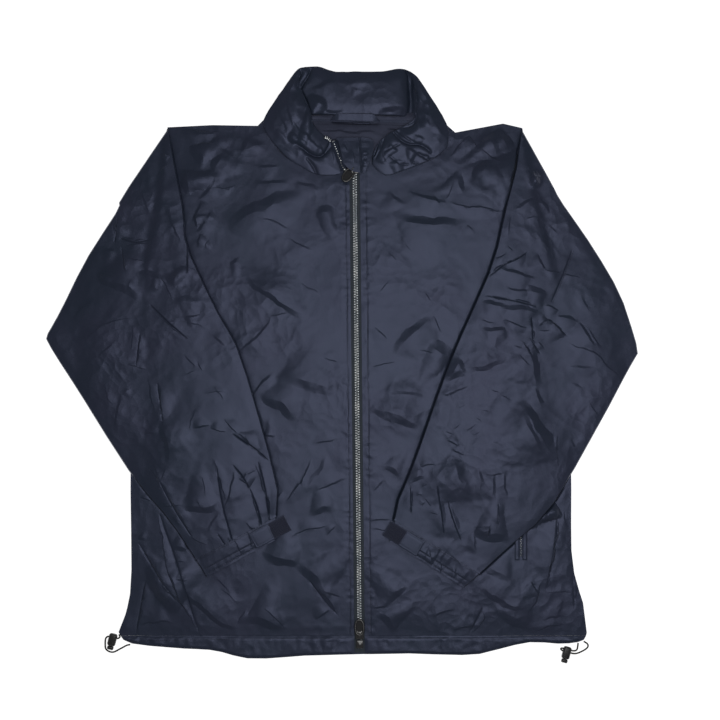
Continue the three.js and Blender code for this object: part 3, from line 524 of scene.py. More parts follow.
def make_cloth(name, corners, triangles, finish, grain=0.0, thick=PLY, turn=None):
    """A piece of cloth, its faces outwards, with its plan turned to the grain as its UV map."""
    at = triangles.ravel()
    c, s = math.cos(grain), math.sin(grain)
    plan = np.stack([corners[at, 0] * c + corners[at, 1] * s, corners[at, 1] * c - corners[at, 0] * s], 1)
    piece = link_mesh(name, corners, triangles, finish, plan)
    if thick:
        wall = piece.modifiers.new("wall", "SOLIDIFY")
        wall.thickness = thick
        wall.offset = -1
        bpy.ops.object.modifier_apply(modifier="wall")
    bpy.ops.object.shade_smooth_by_angle(angle=math.radians(7))
    return piece


def declare(piece, nodes, rests_on):
    """Attaches a piece of cloth to the parka and hides the CAD nodes that it stands for."""
    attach(piece, "parka")
    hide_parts(*nodes)


rest = int((0.012 / CELL) ** 2)
body_rings = {}
for name, flat in (("back", (0.640, 0.705)), ("hem_back", (0.640, 0.034))):
    triangles, ring = outer_faces(name, 1)
    body_rings[name] = ring
    points, triangles = cut_cloth(ring, 2 * CELL)
    heights = np.full(len(points), PLY + 0.00002) + np.abs(crumple(points, 4.4, 18, 0.00006))
    piece = make_cloth(name + "_panel", np.column_stack([points, heights]), triangles, shell_nylon)
    flat_side = np.array([v.co.z < 0.9 * PLY for v in piece.data.vertices])
    for vertex, low in zip(piece.data.vertices, flat_side):
        if low:
            vertex.co.z = 0.0
    declare(piece, [name], ["table"])

# ---------------------------------------------------------------------------
# The two fronts, one layer of nylon each, from the zip to the side seams. They lie on the
# back, and the sleeves lie on them. Each row is one crease: from x, y to x, y in mm, half
# of its width, how steep it is, and how far it bows to its left.
CREASES = {
    "front_right": [
        (-222, 315, -164, 311, 3, 0.5, 0), (-207, 290, -170, 298, 2.2, 0.6, 2), (-205, 289, -190, 264, 7, 0.3, 2),
        (-163, 293, -174, 258, 6, 0.3, -2), (-216, 262, -208, 226, 6, 0.55, 0), (-170, 256, -194, 221, 3.5, 0.45, 2),
        (-189, 222, -202, 194, 3.5, 0.5, 2), (-176, 209, -196, 176, 4, 0.4, 2), (-198, 203, -194, 186, 3.5, 0.6, 0),
        (-190, 176, -196, 156, 3, 0.4, 0), (-177, 168, -186, 156, 2.2, 0.4, 0), (-172, 240, -143, 238, 2, 0.5, -1),
        (-158, 185, -52, 232, 9, 0.24, 7), (-123, 311, -134, 280, 4.5, 0.34, -2), (-118, 266, -82, 267, 3.5, 0.3, 1),
        (-120, 243, -70, 247, 4, 0.28, 1), (-154, 137, -136, 140, 4, 0.3, 0), (-138, 127, -42, 59, 5, 0.42, -7),
        (-36, 202, -10, 210, 7, 0.2, 3), (-142, 14, -94, 66, 3.4, 0.4, -5), (-96, 66, -72, 70, 2, 0.34, 0),
        (-124, -48, -91, -9, 3.6, 0.4, 2), (-92, -22, -8, -44, 8, 0.3, 5), (-112, -44, -62, -78, 6, 0.36, 4),
        (-106, -96, -91, -98, 4, 0.34, 0), (-30, 12, -4, 2, 2.4, 0.3, 0), (-112, 196, -70, 180, 3, 0.2, 3),
        (-76, 168, -38, 150, 3, 0.18, 2), (-62, 246, -30, 232, 4, 0.26, 2), (-58, 108, -30, 92, 2.4, 0.2, 2),
        (-97, -194, -80, -170, 2.6, 0.4, 2), (-79, -190, -42, -126, 3.2, 0.36, -4), (-54, -172, -22, -122, 4, 0.3, -3),
        (-44, -203, -6, -197, 5, 0.34, 3), (-34, -172, 6, -154, 3, 0.3, 2), (-66, -232, -20, -216, 2.6, 0.42, 2),
        (-20, -230, -6, -214, 2, 0.4, 0), (-40, -110, -6, -102, 3, 0.22, 2), (-108, -256, -56, -270, 7, 0.34, -4),
        (-62, -272, -22, -318, 9, 0.3, 5), (-44, -292, -6, -338, 2.4, 0.6, 2), (-24, -306, -2, -311, 3, 0.34, 0),
        (-104, -328, -78, -357, 2, 0.5, 2), (-130, -343, -82, -357, 7, 0.34, 3), (-212, -304, -142, -363, 5, 0.45, -5),
        (-140, -352, -129, -328, 2.4, 0.4, 0), (-246, -202, -193, -362, 2.2, 0.75, -12), (-232, -276, -206, -338, 3, 0.4, -3),
        (-274, -242, -214, -328, 2.4, 0.75, -3), (-264, -272, -226, -336, 9, 0.4, -5), (-265, -292, -278, -364, 2.4, 0.7, 2),
        (-232, -247, -206, -252, 4.5, 0.34, 1), (-230, -264, -208, -263, 2.4, 0.3, 0), (-224, -288, -208, -290, 3, 0.36, 0),
        (-276, -238, -262, -240, 2.4, 0.4, 0), (-174, -282, -150, -312, 2.4, 0.22, 2), (-164, -300, -140, -322, 2, 0.2, 0),
        (-272, -180, -256, -186, 2.4, 0.3, 0), (-270, -352, -228, -350, 3, 0.4, 4), (-34, -344, -18, -330, 3, 0.3, 0),
    ],
    "front_left": [
        (63, 236, 86, 211, 4, 0.28, -3), (90, 232, 146, 216, 4, 0.34, -2), (66, 204, 168, 194, 8, 0.3, -6),
        (143, 217, 221, 208, 2.4, 0.55, -2), (168, 186, 180, 176, 2.4, 0.24, 0), (155, 258, 165, 232, 5, 0.34, 0),
        (174, 244, 200, 274, 6, 0.34, 3), (186, 288, 214, 274, 2.4, 0.6, -2), (170, 309, 181, 286, 2.4, 0.6, 2),
        (196, 318, 212, 282, 5, 0.3, 0), (214, 321, 232, 288, 7, 0.5, -2), (145, 278, 172, 309, 2.2, 0.55, 2),
        (238, 292, 221, 206, 4.6, 1.3, 2), (120, 226, 134, 214, 3, 0.2, 0), (150, 244, 140, 218, 2.4, 0.24, 0),
        (66, 15, 124, 65, 6, 0.3, 5), (124, 66, 136, 41, 2.4, 0.3, 0), (38, 51, 66, 34, 2.6, 0.3, 0),
        (118, 32, 152, 12, 8, 0.28, 2), (103, 20, 124, 15, 2.4, 0.24, 0), (36, -2, 74, 3, 2.4, 0.3, 0),
        (36, -62, 108, -91, 7, 0.34, 3), (52, -42, 118, -49, 4, 0.26, 6), (54, -138, 80, -154, 5, 0.3, 0),
        (42, -174, 60, -158, 2.6, 0.24, 0), (38, -213, 66, -209, 2.6, 0.34, 1), (40, -222, 62, -224, 2, 0.3, 0),
        (56, -328, 92, -298, 5.4, 0.36, 4), (40, -326, 62, -326, 3, 0.3, 0), (48, -336, 68, -362, 6, 0.3, 4),
        (122, -341, 152, -333, 3.6, 0.32, 2), (148, -358, 184, -351, 3, 0.36, 1), (189, -328, 172, -363, 2, 0.55, 6),
        (184, -296, 250, -330, 5, 0.4, -9), (206, -330, 252, -352, 7, 0.32, -4), (268, -296, 250, -334, 2.4, 0.55, 4),
        (254, -292, 266, -314, 3, 0.5, 0), (186, -276, 226, -294, 5, 0.32, 2), (184, -276, 174, -296, 2, 0.5, 0),
        (284, -184, 296, -206, 5, 1.0, -2), (291, -202, 275, -304, 2.8, 1.1, 3), (310, -226, 313, -328, 2.4, 0.8, 2),
        (298, -196, 308, -230, 2.4, 0.34, 0), (276, -308, 310, -305, 2.2, 0.4, 0), (258, -362, 298, -350, 2.6, 0.4, 2),
        (270, -344, 300, -338, 3, 0.24, 2), (62, 150, 78, 136, 2, 0.2, 0), (78, 172, 96, 150, 2.2, 0.22, 0),
        (64, 110, 52, 96, 2, 0.24, 0), (112, 96, 120, 84, 2.4, 0.2, 0), (300, -318, 286, -342, 3.4, 0.3, 0),
    ],
}


ZIP_TOP = np.array((0.017, 0.257))
ZIP_FOOT = np.array((0.024, -0.391))


def from_zip(points):
    """How far to the wearer's left of the zip's middle line some points lie."""
    return points[:, 0] - ZIP_TOP[0] - (ZIP_FOOT[0] - ZIP_TOP[0]) * (ZIP_TOP[1] - points[:, 1]) / (ZIP_TOP[1] - ZIP_FOOT[1])


def puckers(points, away, along, seed, size, pitch, reach):
    """Short ripples square to a seam, drawn up by its stitches."""
    ripple = np.array([noise.noise(Vector((a / pitch * 1.15, b / reach * 0.9, seed))) for a, b in zip(along, away)])
    force = np.array([0.55 + noise.noise(Vector((a / pitch * 0.17, seed + 9.0, 2.0))) for a in along])
    return size * np.clip(force, 0, 1) * 2.4 * ripple * np.exp(-(away / reach) ** 2)


def fine_band(line, reach, cell, closes=False):
    """Points a small cell apart, beside a line."""
    low, high = line.min(0) - reach, line.max(0) + reach
    xs, ys = np.arange(low[0], high[0], cell), np.arange(low[1], high[1], cell)
    points = np.stack(np.meshgrid(xs, ys), -1).reshape(-1, 2)
    return points[away_from(points, line, closes) < reach]


DEEP = {
    "front_right": [(1.2, 1.2, (-246, -202), (-222, -268), (-193, -362)), (1.2, 1.2, (-274, -242), (-240, -296), (-214, -328)),
                    (1.0, 0.8, (-44, -292), (-24, -318), (-6, -338)), (1.0, 1.0, (-265, -292), (-278, -364))],
    "front_left": [(1.4, 1.6, (238, 292), (232, 250), (221, 206)), (1.2, 1.2, (291, -202), (285, -256), (275, -304)),
                   (1.2, 1.2, (310, -226), (313, -328)), (1.0, 0.9, (189, -328), (180, -346), (172, -363))],
}
TOPSTITCH = {"right": 0.0120, "left": 0.0150}
SHADE = {"right": 0.0008, "left": 0.0024}
covers = {}
for side in ("right", "left"):
    under, _ = outer_faces("sleeve_" + side, -1)
    _, ring = outer_faces("sleeve_" + side, 1)
    covers[side] = (height_over(under), ring)

laid_tops = {}
SEAM_CELL = 0.0015
for side, seed in (("right", 3.1), ("left", 8.6)):
    name = "front_" + side
    sign = -1 if side == "right" else 1
    triangles, ring = outer_faces(name, 1)
    zip_edge = np.array([ZIP_TOP, ZIP_FOOT]) + (sign * 0.016, 0)
    under, cover = covers[side]
    points, faces = cut_cloth(ring, CELL, [
        fold_points(DEEP[name]), crease_lines(CREASES[name], 0.002), fine_band(zip_edge, 0.009, SEAM_CELL),
        resample(cover, 0.002), inset(cover, -0.0011, 0.002), inset(cover, -0.0030, 0.002)])
    heights = relax(height_over(triangles)(points), faces, rest)
    low = 2 * PLY + 0.0006
    heights = low + (heights - low) * 0.7
    edge = np.clip(away_from(points, ring) / 0.012, 0, 1)
    heights += edge * (creases(points, CREASES[name]) + crumple(points, seed, 17, 0.0004))
    heights += edge * crumple(points, seed + 5, 50, 0.00013)
    heights -= edge * pressed(points, DEEP[name])
    from_row = np.abs(from_zip(points)) - TOPSTITCH[side]
    heights += puckers(points, from_row, points[:, 1], seed, 0.00026, 0.0062, 0.008)
    heights -= 0.0003 * np.exp(-(from_row / 0.0010) ** 2)
    heights = np.maximum(heights, 2 * PLY + 0.0004)
    hidden = inside(points, cover)
    heights -= SHADE[side] * np.exp(-away_from(points, cover) / 0.0016) * edge
    heights[hidden] = np.minimum(heights[hidden], under(points[hidden]) - 0.0004)
    laid_tops[name] = (points, faces, heights)
    piece = make_cloth(name + "_panel", np.column_stack([points, heights]), faces, shell_nylon, grain=sign * 0.02)
    declare(piece, [name], ["back_panel"])

# ---------------------------------------------------------------------------
# The hem casings of the fronts, folded strips with the shock cord inside, drawn up into
# short soft gathers. One row of stitches holds each casing.
HEM_TOP = -0.366
hem_tops = {}
for side, seed in (("right", 6.2), ("left", 1.7)):
    name = "hem_" + side
    sign = -1 if side == "right" else 1
    triangles, ring = outer_faces(name, 1)
    points, faces = cut_cloth(ring, max(SEAM_CELL, CELL * 0.7))
    heights = relax(height_over(triangles)(points), faces, int((0.016 / (CELL * 0.7)) ** 2))
    depth = HEM_TOP - points[:, 1]
    from_end = np.clip((np.abs(from_zip(points)) - 0.012) / 0.02, 0, 1)
    edge = np.clip(away_from(points, ring) / 0.004, 0, 1)
    swell = np.clip(depth / 0.006, 0, 1)
    gather = puckers(points, np.abs(depth - 0.008), points[:, 0], seed, 0.0006, 0.0105, 0.014)
    gather += puckers(points, np.abs(depth - 0.001), points[:, 0], seed + 3, 0.00025, 0.0052, 0.006)
    gather += crumple(points, seed, 46, 0.0004)
    heights = heights - 0.0010 + 0.0008 * swell * edge + gather * swell * (0.35 + 0.65 * edge) * (0.3 + 0.7 * from_end)
    heights -= 0.0009 * (1 - np.clip(depth / 0.003, 0, 1))
    heights = np.maximum(heights, 2 * PLY + 0.0003)
    hem_tops[side] = (points, faces, heights)
    piece = make_cloth(name + "_casing", np.column_stack([points, heights]), faces, shell_nylon, thick=0.0013)
    declare(piece, [name], ["hem_back_panel"])

# ---------------------------------------------------------------------------
# The sleeves, each one piece of nylon sewn to a tube and pressed flat, brought in over the
# front from the shoulder. The upper layer keeps most of the creases of the whole parka. The
# lower one steps down from the front to the table, and parts where the armhole comes in.
CREASES["sleeve_right"] = [
    (-331, 112, -268, 86, 7, 0.42, 2), (-276, 121, -236, 112, 5, 0.36, 5), (-238, 122, -224, 100, 5, 0.34, 0),
    (-262, 104, -246, 98, 4.5, 0.3, 0), (-258, 80, -208, 34, 2.2, 0.55, -2), (-227, 133, -225, 100, 4.5, 0.3, 0),
    (-249, 124, -226, 84, 2.4, 0.3, 2), (-212, 188, -208, 122, 2.4, 0.75, 2), (-206, 130, -185, 121, 2.2, 0.6, -1),
    (-190, 103, -178, 113, 2.2, 0.5, 0), (-303, 197, -306, 164, 2.6, 0.75, 0), (-298, 169, -260, 167, 2.4, 0.36, -2),
    (-293, 158, -254, 159, 2.4, 0.36, 2), (-288, 141, -266, 138, 2.4, 0.3, 0), (-297, 156, -292, 124, 2.4, 0.42, 1),
    (-324, 155, -303, 151, 3.4, 0.36, 2), (-332, 119, -308, 117, 3, 0.34, 1), (-345, 34, -278, 62, 2.4, 0.26, 6),
    (-281, 54, -285, 18, 2.4, 0.28, 0), (-272, 40, -277, -2, 2.4, 0.5, 1), (-222, 83, -190, 89, 5, 0.3, 2),
    (-216, 66, -188, 68, 3, 0.34, -1), (-236, 208, -210, 156, 3, 0.24, -3), (-245, 285, -231, 280, 2.6, 0.34, 0),
    (-252, 252, -236, 270, 2.2, 0.26, 0), (-188, 104, -142, 12, 3, 0.34, 3), (-177, 37, -154, 24, 3.4, 0.34, 0),
    (-212, 60, -176, 40, 2.4, 0.24, 2), (-245, 62, -225, 58, 2.2, 0.26, 0), (-290, 98, -282, 112, 2.2, 0.26, 0),
    (-288, -3, -260, -8, 2, 0.44, 1), (-297, -42, -306, -86, 3.4, 0.42, -3), (-298, -42, -285, -36, 2.2, 0.3, 0),
    (-248, -26, -241, -78, 2.8, 0.6, 1), (-243, -78, -234, -134, 5, 0.38, 1), (-266, -90, -244, -94, 2.6, 0.3, 2),
    (-262, -20, -252, -64, 2.6, 0.26, 0), (-200, -88, -176, -82, 3, 0.34, 2), (-178, -87, -156, -92, 2.2, 0.55, 0),
    (-158, -72, -142, -96, 2.4, 0.5, 0), (-144, -93, -97, -131, 2.8, 0.8, 1), (-100, -128, -91, -148, 2.6, 0.4, 0),
    (-174, -126, -154, -184, 2.4, 0.6, -1), (-144, -140, -156, -194, 3, 0.4, 2), (-140, -152, -122, -168, 2.8, 0.7, 1),
    (-126, -164, -107, -234, 2.6, 0.7, 2), (-116, -132, -93, -236, 2.6, 0.75, 5), (-133, -153, -111, -141, 2.2, 0.4, 2),
    (-246, -156, -203, -230, 2.2, 0.7, 2), (-205, -228, -180, -244, 2.2, 0.5, -2), (-214, -192, -164, -191, 6, 0.42, -3),
    (-178, -226, -166, -198, 3.4, 0.34, 0), (-230, -204, -216, -220, 3.4, 0.34, 0), (-250, -196, -210, -190, 2, 0.4, 2),
    (-130, -210, -106, -234, 3, 0.4, 0), (-155, -232, -140, -256, 2.2, 0.6, 0), (-262, -138, -244, -166, 2.4, 0.3, 2),
    (-252, -134, -246, -168, 2.4, 0.3, 0), (-238, -140, -244, -158, 2.4, 0.24, 0), (-212, 12, -196, -6, 2.2, 0.28, 0),
    (-196, 4, -186, -10, 2.2, 0.28, 0), (-190, -40, -150, -40, 2.4, 0.2, 3), (-212, -14, -196, -10, 2, 0.24, 0),
    (-172, -28, -158, -52, 2.4, 0.2, 0), (-184, -196, -196, -176, 2.2, 0.24, 0), (-360, 60, -338, 84, 3, 0.2, 2),
    (-330, 6, -306, 30, 3, 0.18, 2), (-320, -28, -310, -56, 2.4, 0.2, 0), (-300, 232, -276, 250, 3, 0.2, 0),
    (-270, 232, -262, 204, 3, 0.18, 0), (-198, -60, -206, -90, 2.4, 0.2, 0), (-190, -150, -182, -176, 2.4, 0.22, 0),
]
CREASES["sleeve_left"] = [
    (232, 206, 264, 223, 3.6, 0.42, 3), (262, 223, 280, 200, 3.6, 0.42, 2), (246, 194, 265, 199, 2.6, 0.34, 2),
    (227, 198, 224, 172, 2.4, 0.34, 1), (222, 158, 229, 148, 2.4, 0.3, 0), (198, 136, 220, 150, 2.2, 0.44, 1),
    (197, 118, 222, 136, 2.2, 0.6, 1), (220, 136, 248, 150, 2.4, 0.55, -2), (212, 128, 263, 112, 4, 0.46, 3),
    (263, 146, 272, 128, 3, 0.36, -1), (270, 128, 296, 126, 2.6, 0.34, -1), (294, 120, 320, 116, 2.4, 0.28, 1),
    (222, 105, 256, 97, 3, 0.34, -1), (250, 103, 278, 93, 5, 0.34, 0), (194, 92, 262, 77, 2.4, 0.6, 2),
    (186, 82, 226, 78, 4.4, 0.42, 3), (208, 80, 268, 70, 4.4, 0.46, 0), (186, 58, 206, 56, 2.4, 0.3, 0),
    (216, 58, 250, 48, 3, 0.44, 1), (184, 48, 226, 40, 4.4, 0.42, 3), (270, 77, 291, 73, 2.6, 0.4, 2),
    (290, 66, 316, 58, 3.4, 0.42, 2), (314, 60, 340, 18, 4, 0.42, 4), (266, 52, 280, 59, 2.4, 0.5, 1),
    (279, 60, 302, 38, 3.2, 0.6, 2), (255, 62, 257, 31, 2.4, 0.8, 0), (262, 44, 284, 42, 2.2, 0.3, 0),
    (244, 30, 256, 12, 2.4, 0.44, 0), (254, 34, 266, 14, 2.4, 0.44, 0), (262, 30, 272, 22, 2, 0.4, 0),
    (240, 12, 250, -2, 2.4, 0.4, 0), (232, 24, 244, 20, 2.2, 0.3, 0), (300, 30, 374, -16, 2.6, 0.34, 6),
    (302, -6, 346, -6, 3, 0.22, 4), (330, 52, 350, 12, 3, 0.2, 2), (318, 100, 336, 66, 3, 0.16, 0),
    (259, 28, 266, -32, 6, 0.34, -1), (236, -44, 290, -130, 8, 0.42, 4), (242, -60, 276, -122, 4.4, 0.34, -3),
    (262, -30, 272, -60, 4.4, 0.34, 0), (288, -96, 293, -140, 2.4, 0.36, 0), (278, -146, 300, -150, 2.2, 0.2, 0),
    (134, -24, 170, -14, 5.4, 0.4, 3), (162, -10, 224, 6, 4.6, 0.46, -4), (132, -42, 170, -30, 2.8, 0.34, -3),
    (150, -114, 178, -184, 8, 0.42, 1), (139, -104, 160, -112, 2.6, 0.4, 2), (144, -114, 166, -122, 2.6, 0.4, 2),
    (138, -94, 152, -98, 2.2, 0.34, 1), (104, -139, 128, -135, 2.8, 0.36, 2), (88, -162, 116, -152, 4.4, 0.42, 5),
    (186, -138, 190, -184, 4.4, 0.36, 0), (206, -144, 200, -186, 4, 0.36, 0), (218, -142, 222, -182, 3, 0.3, 0),
    (188, -146, 220, -146, 3, 0.24, -1), (128, -164, 137, -228, 3.4, 0.5, 1), (142, -184, 160, -236, 5, 0.4, 1),
    (199, -216, 197, -230, 2.4, 0.75, 0), (210, -188, 210, -216, 2.6, 0.42, 0), (178, -232, 222, -238, 7, 0.36, 3),
    (176, -226, 182, -252, 2.6, 0.36, 0), (92, -166, 92, -200, 2.4, 0.6, 1), (118, -198, 128, -202, 2.2, 0.3, 0),
    (108, -166, 116, -160, 2, 0.3, 0), (100, -178, 110, -174, 2, 0.3, 0), (106, -190, 112, -184, 2, 0.3, 0),
    (112, -178, 120, -190, 2, 0.3, 0), (168, -90, 178, -80, 2, 0.26, 0), (176, -96, 186, -88, 2, 0.26, 0),
    (150, -88, 162, -80, 2, 0.26, 0), (188, -60, 200, -66, 2, 0.24, 0), (200, -34, 214, -42, 2, 0.3, 0),
    (214, -44, 226, -48, 2, 0.3, 0), (178, -72, 190, -78, 2, 0.24, 0), (150, -60, 166, -54, 2.4, 0.2, 0),
    (330, -50, 348, -70, 3, 0.16, 0), (306, -100, 318, -122, 3, 0.16, 0), (252, 268, 262, 246, 3, 0.16, 0),
    (276, 190, 290, 176, 3, 0.16, 0), (300, -28, 326, -38, 3, 0.18, 2), (200, -104, 220, -118, 3, 0.16, 2),
]
DEEP["sleeve_right"] = [
    (0.9, 1.3, (-169, -136), (-160, -190), (-144, -248)), (0.9, 1.2, (-146, -136), (-134, -150), (-124, -168)),
    (0.9, 1.4, (-124, -167), (-113, -195), (-105, -229)), (0.9, 1.3, (-112, -132), (-104, -165), (-97, -209)),
    (0.8, 1.0, (-246, -157), (-225, -195), (-202, -232)), (1.0, 1.6, (-146, -94), (-120, -112), (-97, -131)),
    (1.0, 1.4, (-212, 188), (-209, 155), (-208, 122)), (0.9, 1.2, (-303, 197), (-306, 164)),
    (0.9, 1.2, (-258, 80), (-232, 55), (-208, 34)), (0.9, 1.1, (-248, -26), (-244, -55), (-241, -78)),
    (0.8, 0.8, (-272, 40), (-277, -2)), (0.8, 1.0, (-166, -229), (-158, -242), (-151, -254)),
    (0.8, 0.8, (-297, 156), (-292, 124)), (0.8, 0.8, (-298, 169), (-279, 164), (-260, 167)),
]
DEEP["sleeve_left"] = [
    (1.0, 0.8, (310, 153), (298, 122), (282, 84)), (0.9, 1.2, (197, 118), (212, 129), (222, 136)),
    (0.9, 1.2, (222, 136), (236, 142), (248, 150)), (0.9, 1.0, (194, 92), (228, 86), (262, 77)),
    (0.8, 1.2, (255, 62), (256, 46), (257, 31)), (0.8, 0.9, (266, 52), (280, 59), (302, 38)),
    (0.9, 1.2, (128, -164), (133, -196), (137, -228)), (0.9, 1.0, (92, -166), (93, -200)),
    (0.9, 1.0, (199, -216), (197, -232)), (0.8, 0.9, (210, -188), (210, -216)), (0.8, 0.9, (142, -184), (151, -212), (160, -236)),
    (0.8, 0.8, (244, 30), (256, 12)), (0.8, 0.8, (254, 34), (266, 14)),
]
CUFF_MOUTHS = {"right": np.array([(-0.182, -0.286), (-0.090, -0.237)]), "left": np.array([(0.164, -0.301), (0.064, -0.238)])}
PRESSED = 0.18
tube_tops = {}


def press_tube(name, node, table, open_ends, seed, cell, slit=None, swell=None, extra=()):
    """A flattened tube of cloth: an upper and a lower layer that are one along the folds."""
    over, ring = outer_faces(node, 1)
    under, _ = outer_faces(node, -1)
    lines = [fold_points(DEEP.get(node, ())), *(inset(ring, by, 0.0022) for by in (0.0012, 0.0026, 0.0044)),
             crease_lines(table, 0.002), *extra]
    points, faces = cut_cloth(ring, cell, lines)
    rounds = int((0.012 / cell) ** 2)
    is_rim = away_from(points, ring) < 1e-5
    is_open = np.zeros(len(points), bool)
    for end in open_ends:
        far = away_from(points, end, closes=False) < 0.0012
        corner = np.min([np.hypot(*(points - p).T) for p in end], 0) < 0.0015
        is_open |= far & ~corner
    fold = is_rim & ~is_open
    from_fold = fold_distance(points, fold)
    floor = relax(height_over(under)(points), faces, max(2, rounds // 6), fixed=is_rim)
    heights = relax(height_over(over)(points), faces, rounds, fixed=fold)
    gap = 0.0002 + 2 * PLY
    heights = floor + gap + (heights - floor - gap) * PRESSED
    edge = np.clip(from_fold / 0.010, 0, 1)
    heights += edge * (creases(points, table) + crumple(points, seed, 17, 0.0005) + crumple(points, seed + 5, 50, 0.00016))
    heights -= edge * pressed(points, DEEP.get(node, ()))
    if swell is not None:
        heights += edge * swell(points)
    heights = np.maximum(heights, floor + gap * np.sqrt(np.clip(from_fold / 0.0035, 0, 1)))
    floor = np.maximum(floor, 0.0002)
    heights[fold] = floor[fold] + 0.45 * gap
    low_points, low_faces, low_heights = points, faces, np.where(fold, heights, floor)
    tube_tops[name] = (points, faces, heights)
    count = len(points)
    corners = [np.column_stack([points, heights]), np.column_stack([low_points, low_heights])]
    below = np.arange(count) + count
    below[fold] = np.flatnonzero(fold)
    shapes = [faces, below[low_faces][:, ::-1]]
    corners, shapes = np.concatenate(corners), np.concatenate(shapes)
    used = np.unique(shapes)
    again = np.full(len(corners), -1)
    again[used] = np.arange(len(used))
    return corners[used], again[shapes]


def fold_distance(points, fold):
    """How far some points are from the nearest fold point."""
    tree = kdtree.KDTree(int(fold.sum()))
    for k, p in enumerate(points[fold]):
        tree.insert((*p, 0), k)
    tree.balance()
    return np.array([tree.find((*p, 0))[2] for p in points])


for side, seed in (("right", 2.3), ("left", 5.9)):
    sign = -1 if side == "right" else 1
    mouth = CUFF_MOUTHS[side]
    along = (mouth[1] - mouth[0]) / np.linalg.norm(mouth[1] - mouth[0])
    back = np.array((-along[1], along[0])) * -sign
    seam = mouth + back * 0.0273 + np.array((-along * 0.02, along * 0.02))
    corners, shapes = press_tube("sleeve_" + side, "sleeve_" + side, CREASES["sleeve_" + side], [seam], seed, CELL * 1.06)
    piece = make_cloth("sleeve_%s_tube" % side, corners, shapes, shell_nylon, grain=sign * 0.6)
    declare(piece, ["sleeve_" + side], ["front_%s_panel" % side, "table"])

# ---------------------------------------------------------------------------
# The cuffs, nylon bands at the ends of the sleeves. Elastic draws the outer part up, and two
# rows of stitches run along the flat part. A tab with a square of hook tape closes each.
CREASES["cuff_right"] = [
    (-128, -222, -120, -250, 2.4, 0.4, 0), (-106, -220, -100, -240, 2.2, 0.4, 0), (-143, -236, -138, -258, 2.2, 0.5, 0),
]
CREASES["cuff_left"] = [
    (118, -246, 120, -270, 2.2, 0.5, 0), (134, -262, 132, -282, 2.2, 0.4, 0), (150, -270, 152, -288, 2.2, 0.4, 0),
]
ELASTIC = {"right": 0.42, "left": 0.92}
TAB_REACH = {"right": 0.031, "left": 0.017}
hook_base = nylon("hook tape", (0.006, 0.007, 0.013), (0.012, 0.014, 0.026), 0.6, 0.0002)
hook_plastic, shader, start, where, laid = new_finish("hook plastic", Base_Color=(0.010, 0.012, 0.024, 1), Roughness=0.3)


def repeat(name, template, places, finish):
    """One mesh with a copy of a small modelled shape at each place, a 3 by 4 matrix of turn and shift."""
    shape = np.array([v.co[:] for v in template.data.vertices])
    faces = [tuple(p.vertices) for p in template.data.polygons]
    corners = np.concatenate([shape @ place[:, :3].T + place[:, 3] for place in places])
    shapes = [tuple(v + k * len(shape) for v in face) for k in range(len(places)) for face in faces]
    bpy.data.objects.remove(template)
    return link_mesh(name, corners, shapes, finish)


def tree_of(*pieces):
    """The faces of some pieces, to look down on."""
    corners, shapes = [], []
    for piece in pieces:
        shapes += [tuple(v + len(corners) for v in p.vertices) for p in piece.data.polygons]
        corners += [v.co.copy() for v in piece.data.vertices]
    return BVHTree.FromPolygons(corners, shapes)


def land(tree, x, y):
    """Where a pin dropped at x, y meets the pieces of a tree, and which way their surface looks there."""
    place, normal, _, _ = tree.ray_cast(Vector((x, y, 0.1)), Vector((0, 0, -1)))
    return place, normal


def seated(tree, x, y, heading, lift=0.0):
    """The matrix that lays a shape on a surface, its X axis along the heading."""
    place, normal = land(tree, x, y)
    if place is None:
        return None
    ahead = Vector((math.cos(heading), math.sin(heading), 0))
    ahead = (ahead - normal * ahead.dot(normal)).normalized()
    side = normal.cross(ahead)
    shift = place + normal * lift
    return np.array([[ahead[k], side[k], normal[k], shift[k]] for k in range(3)])


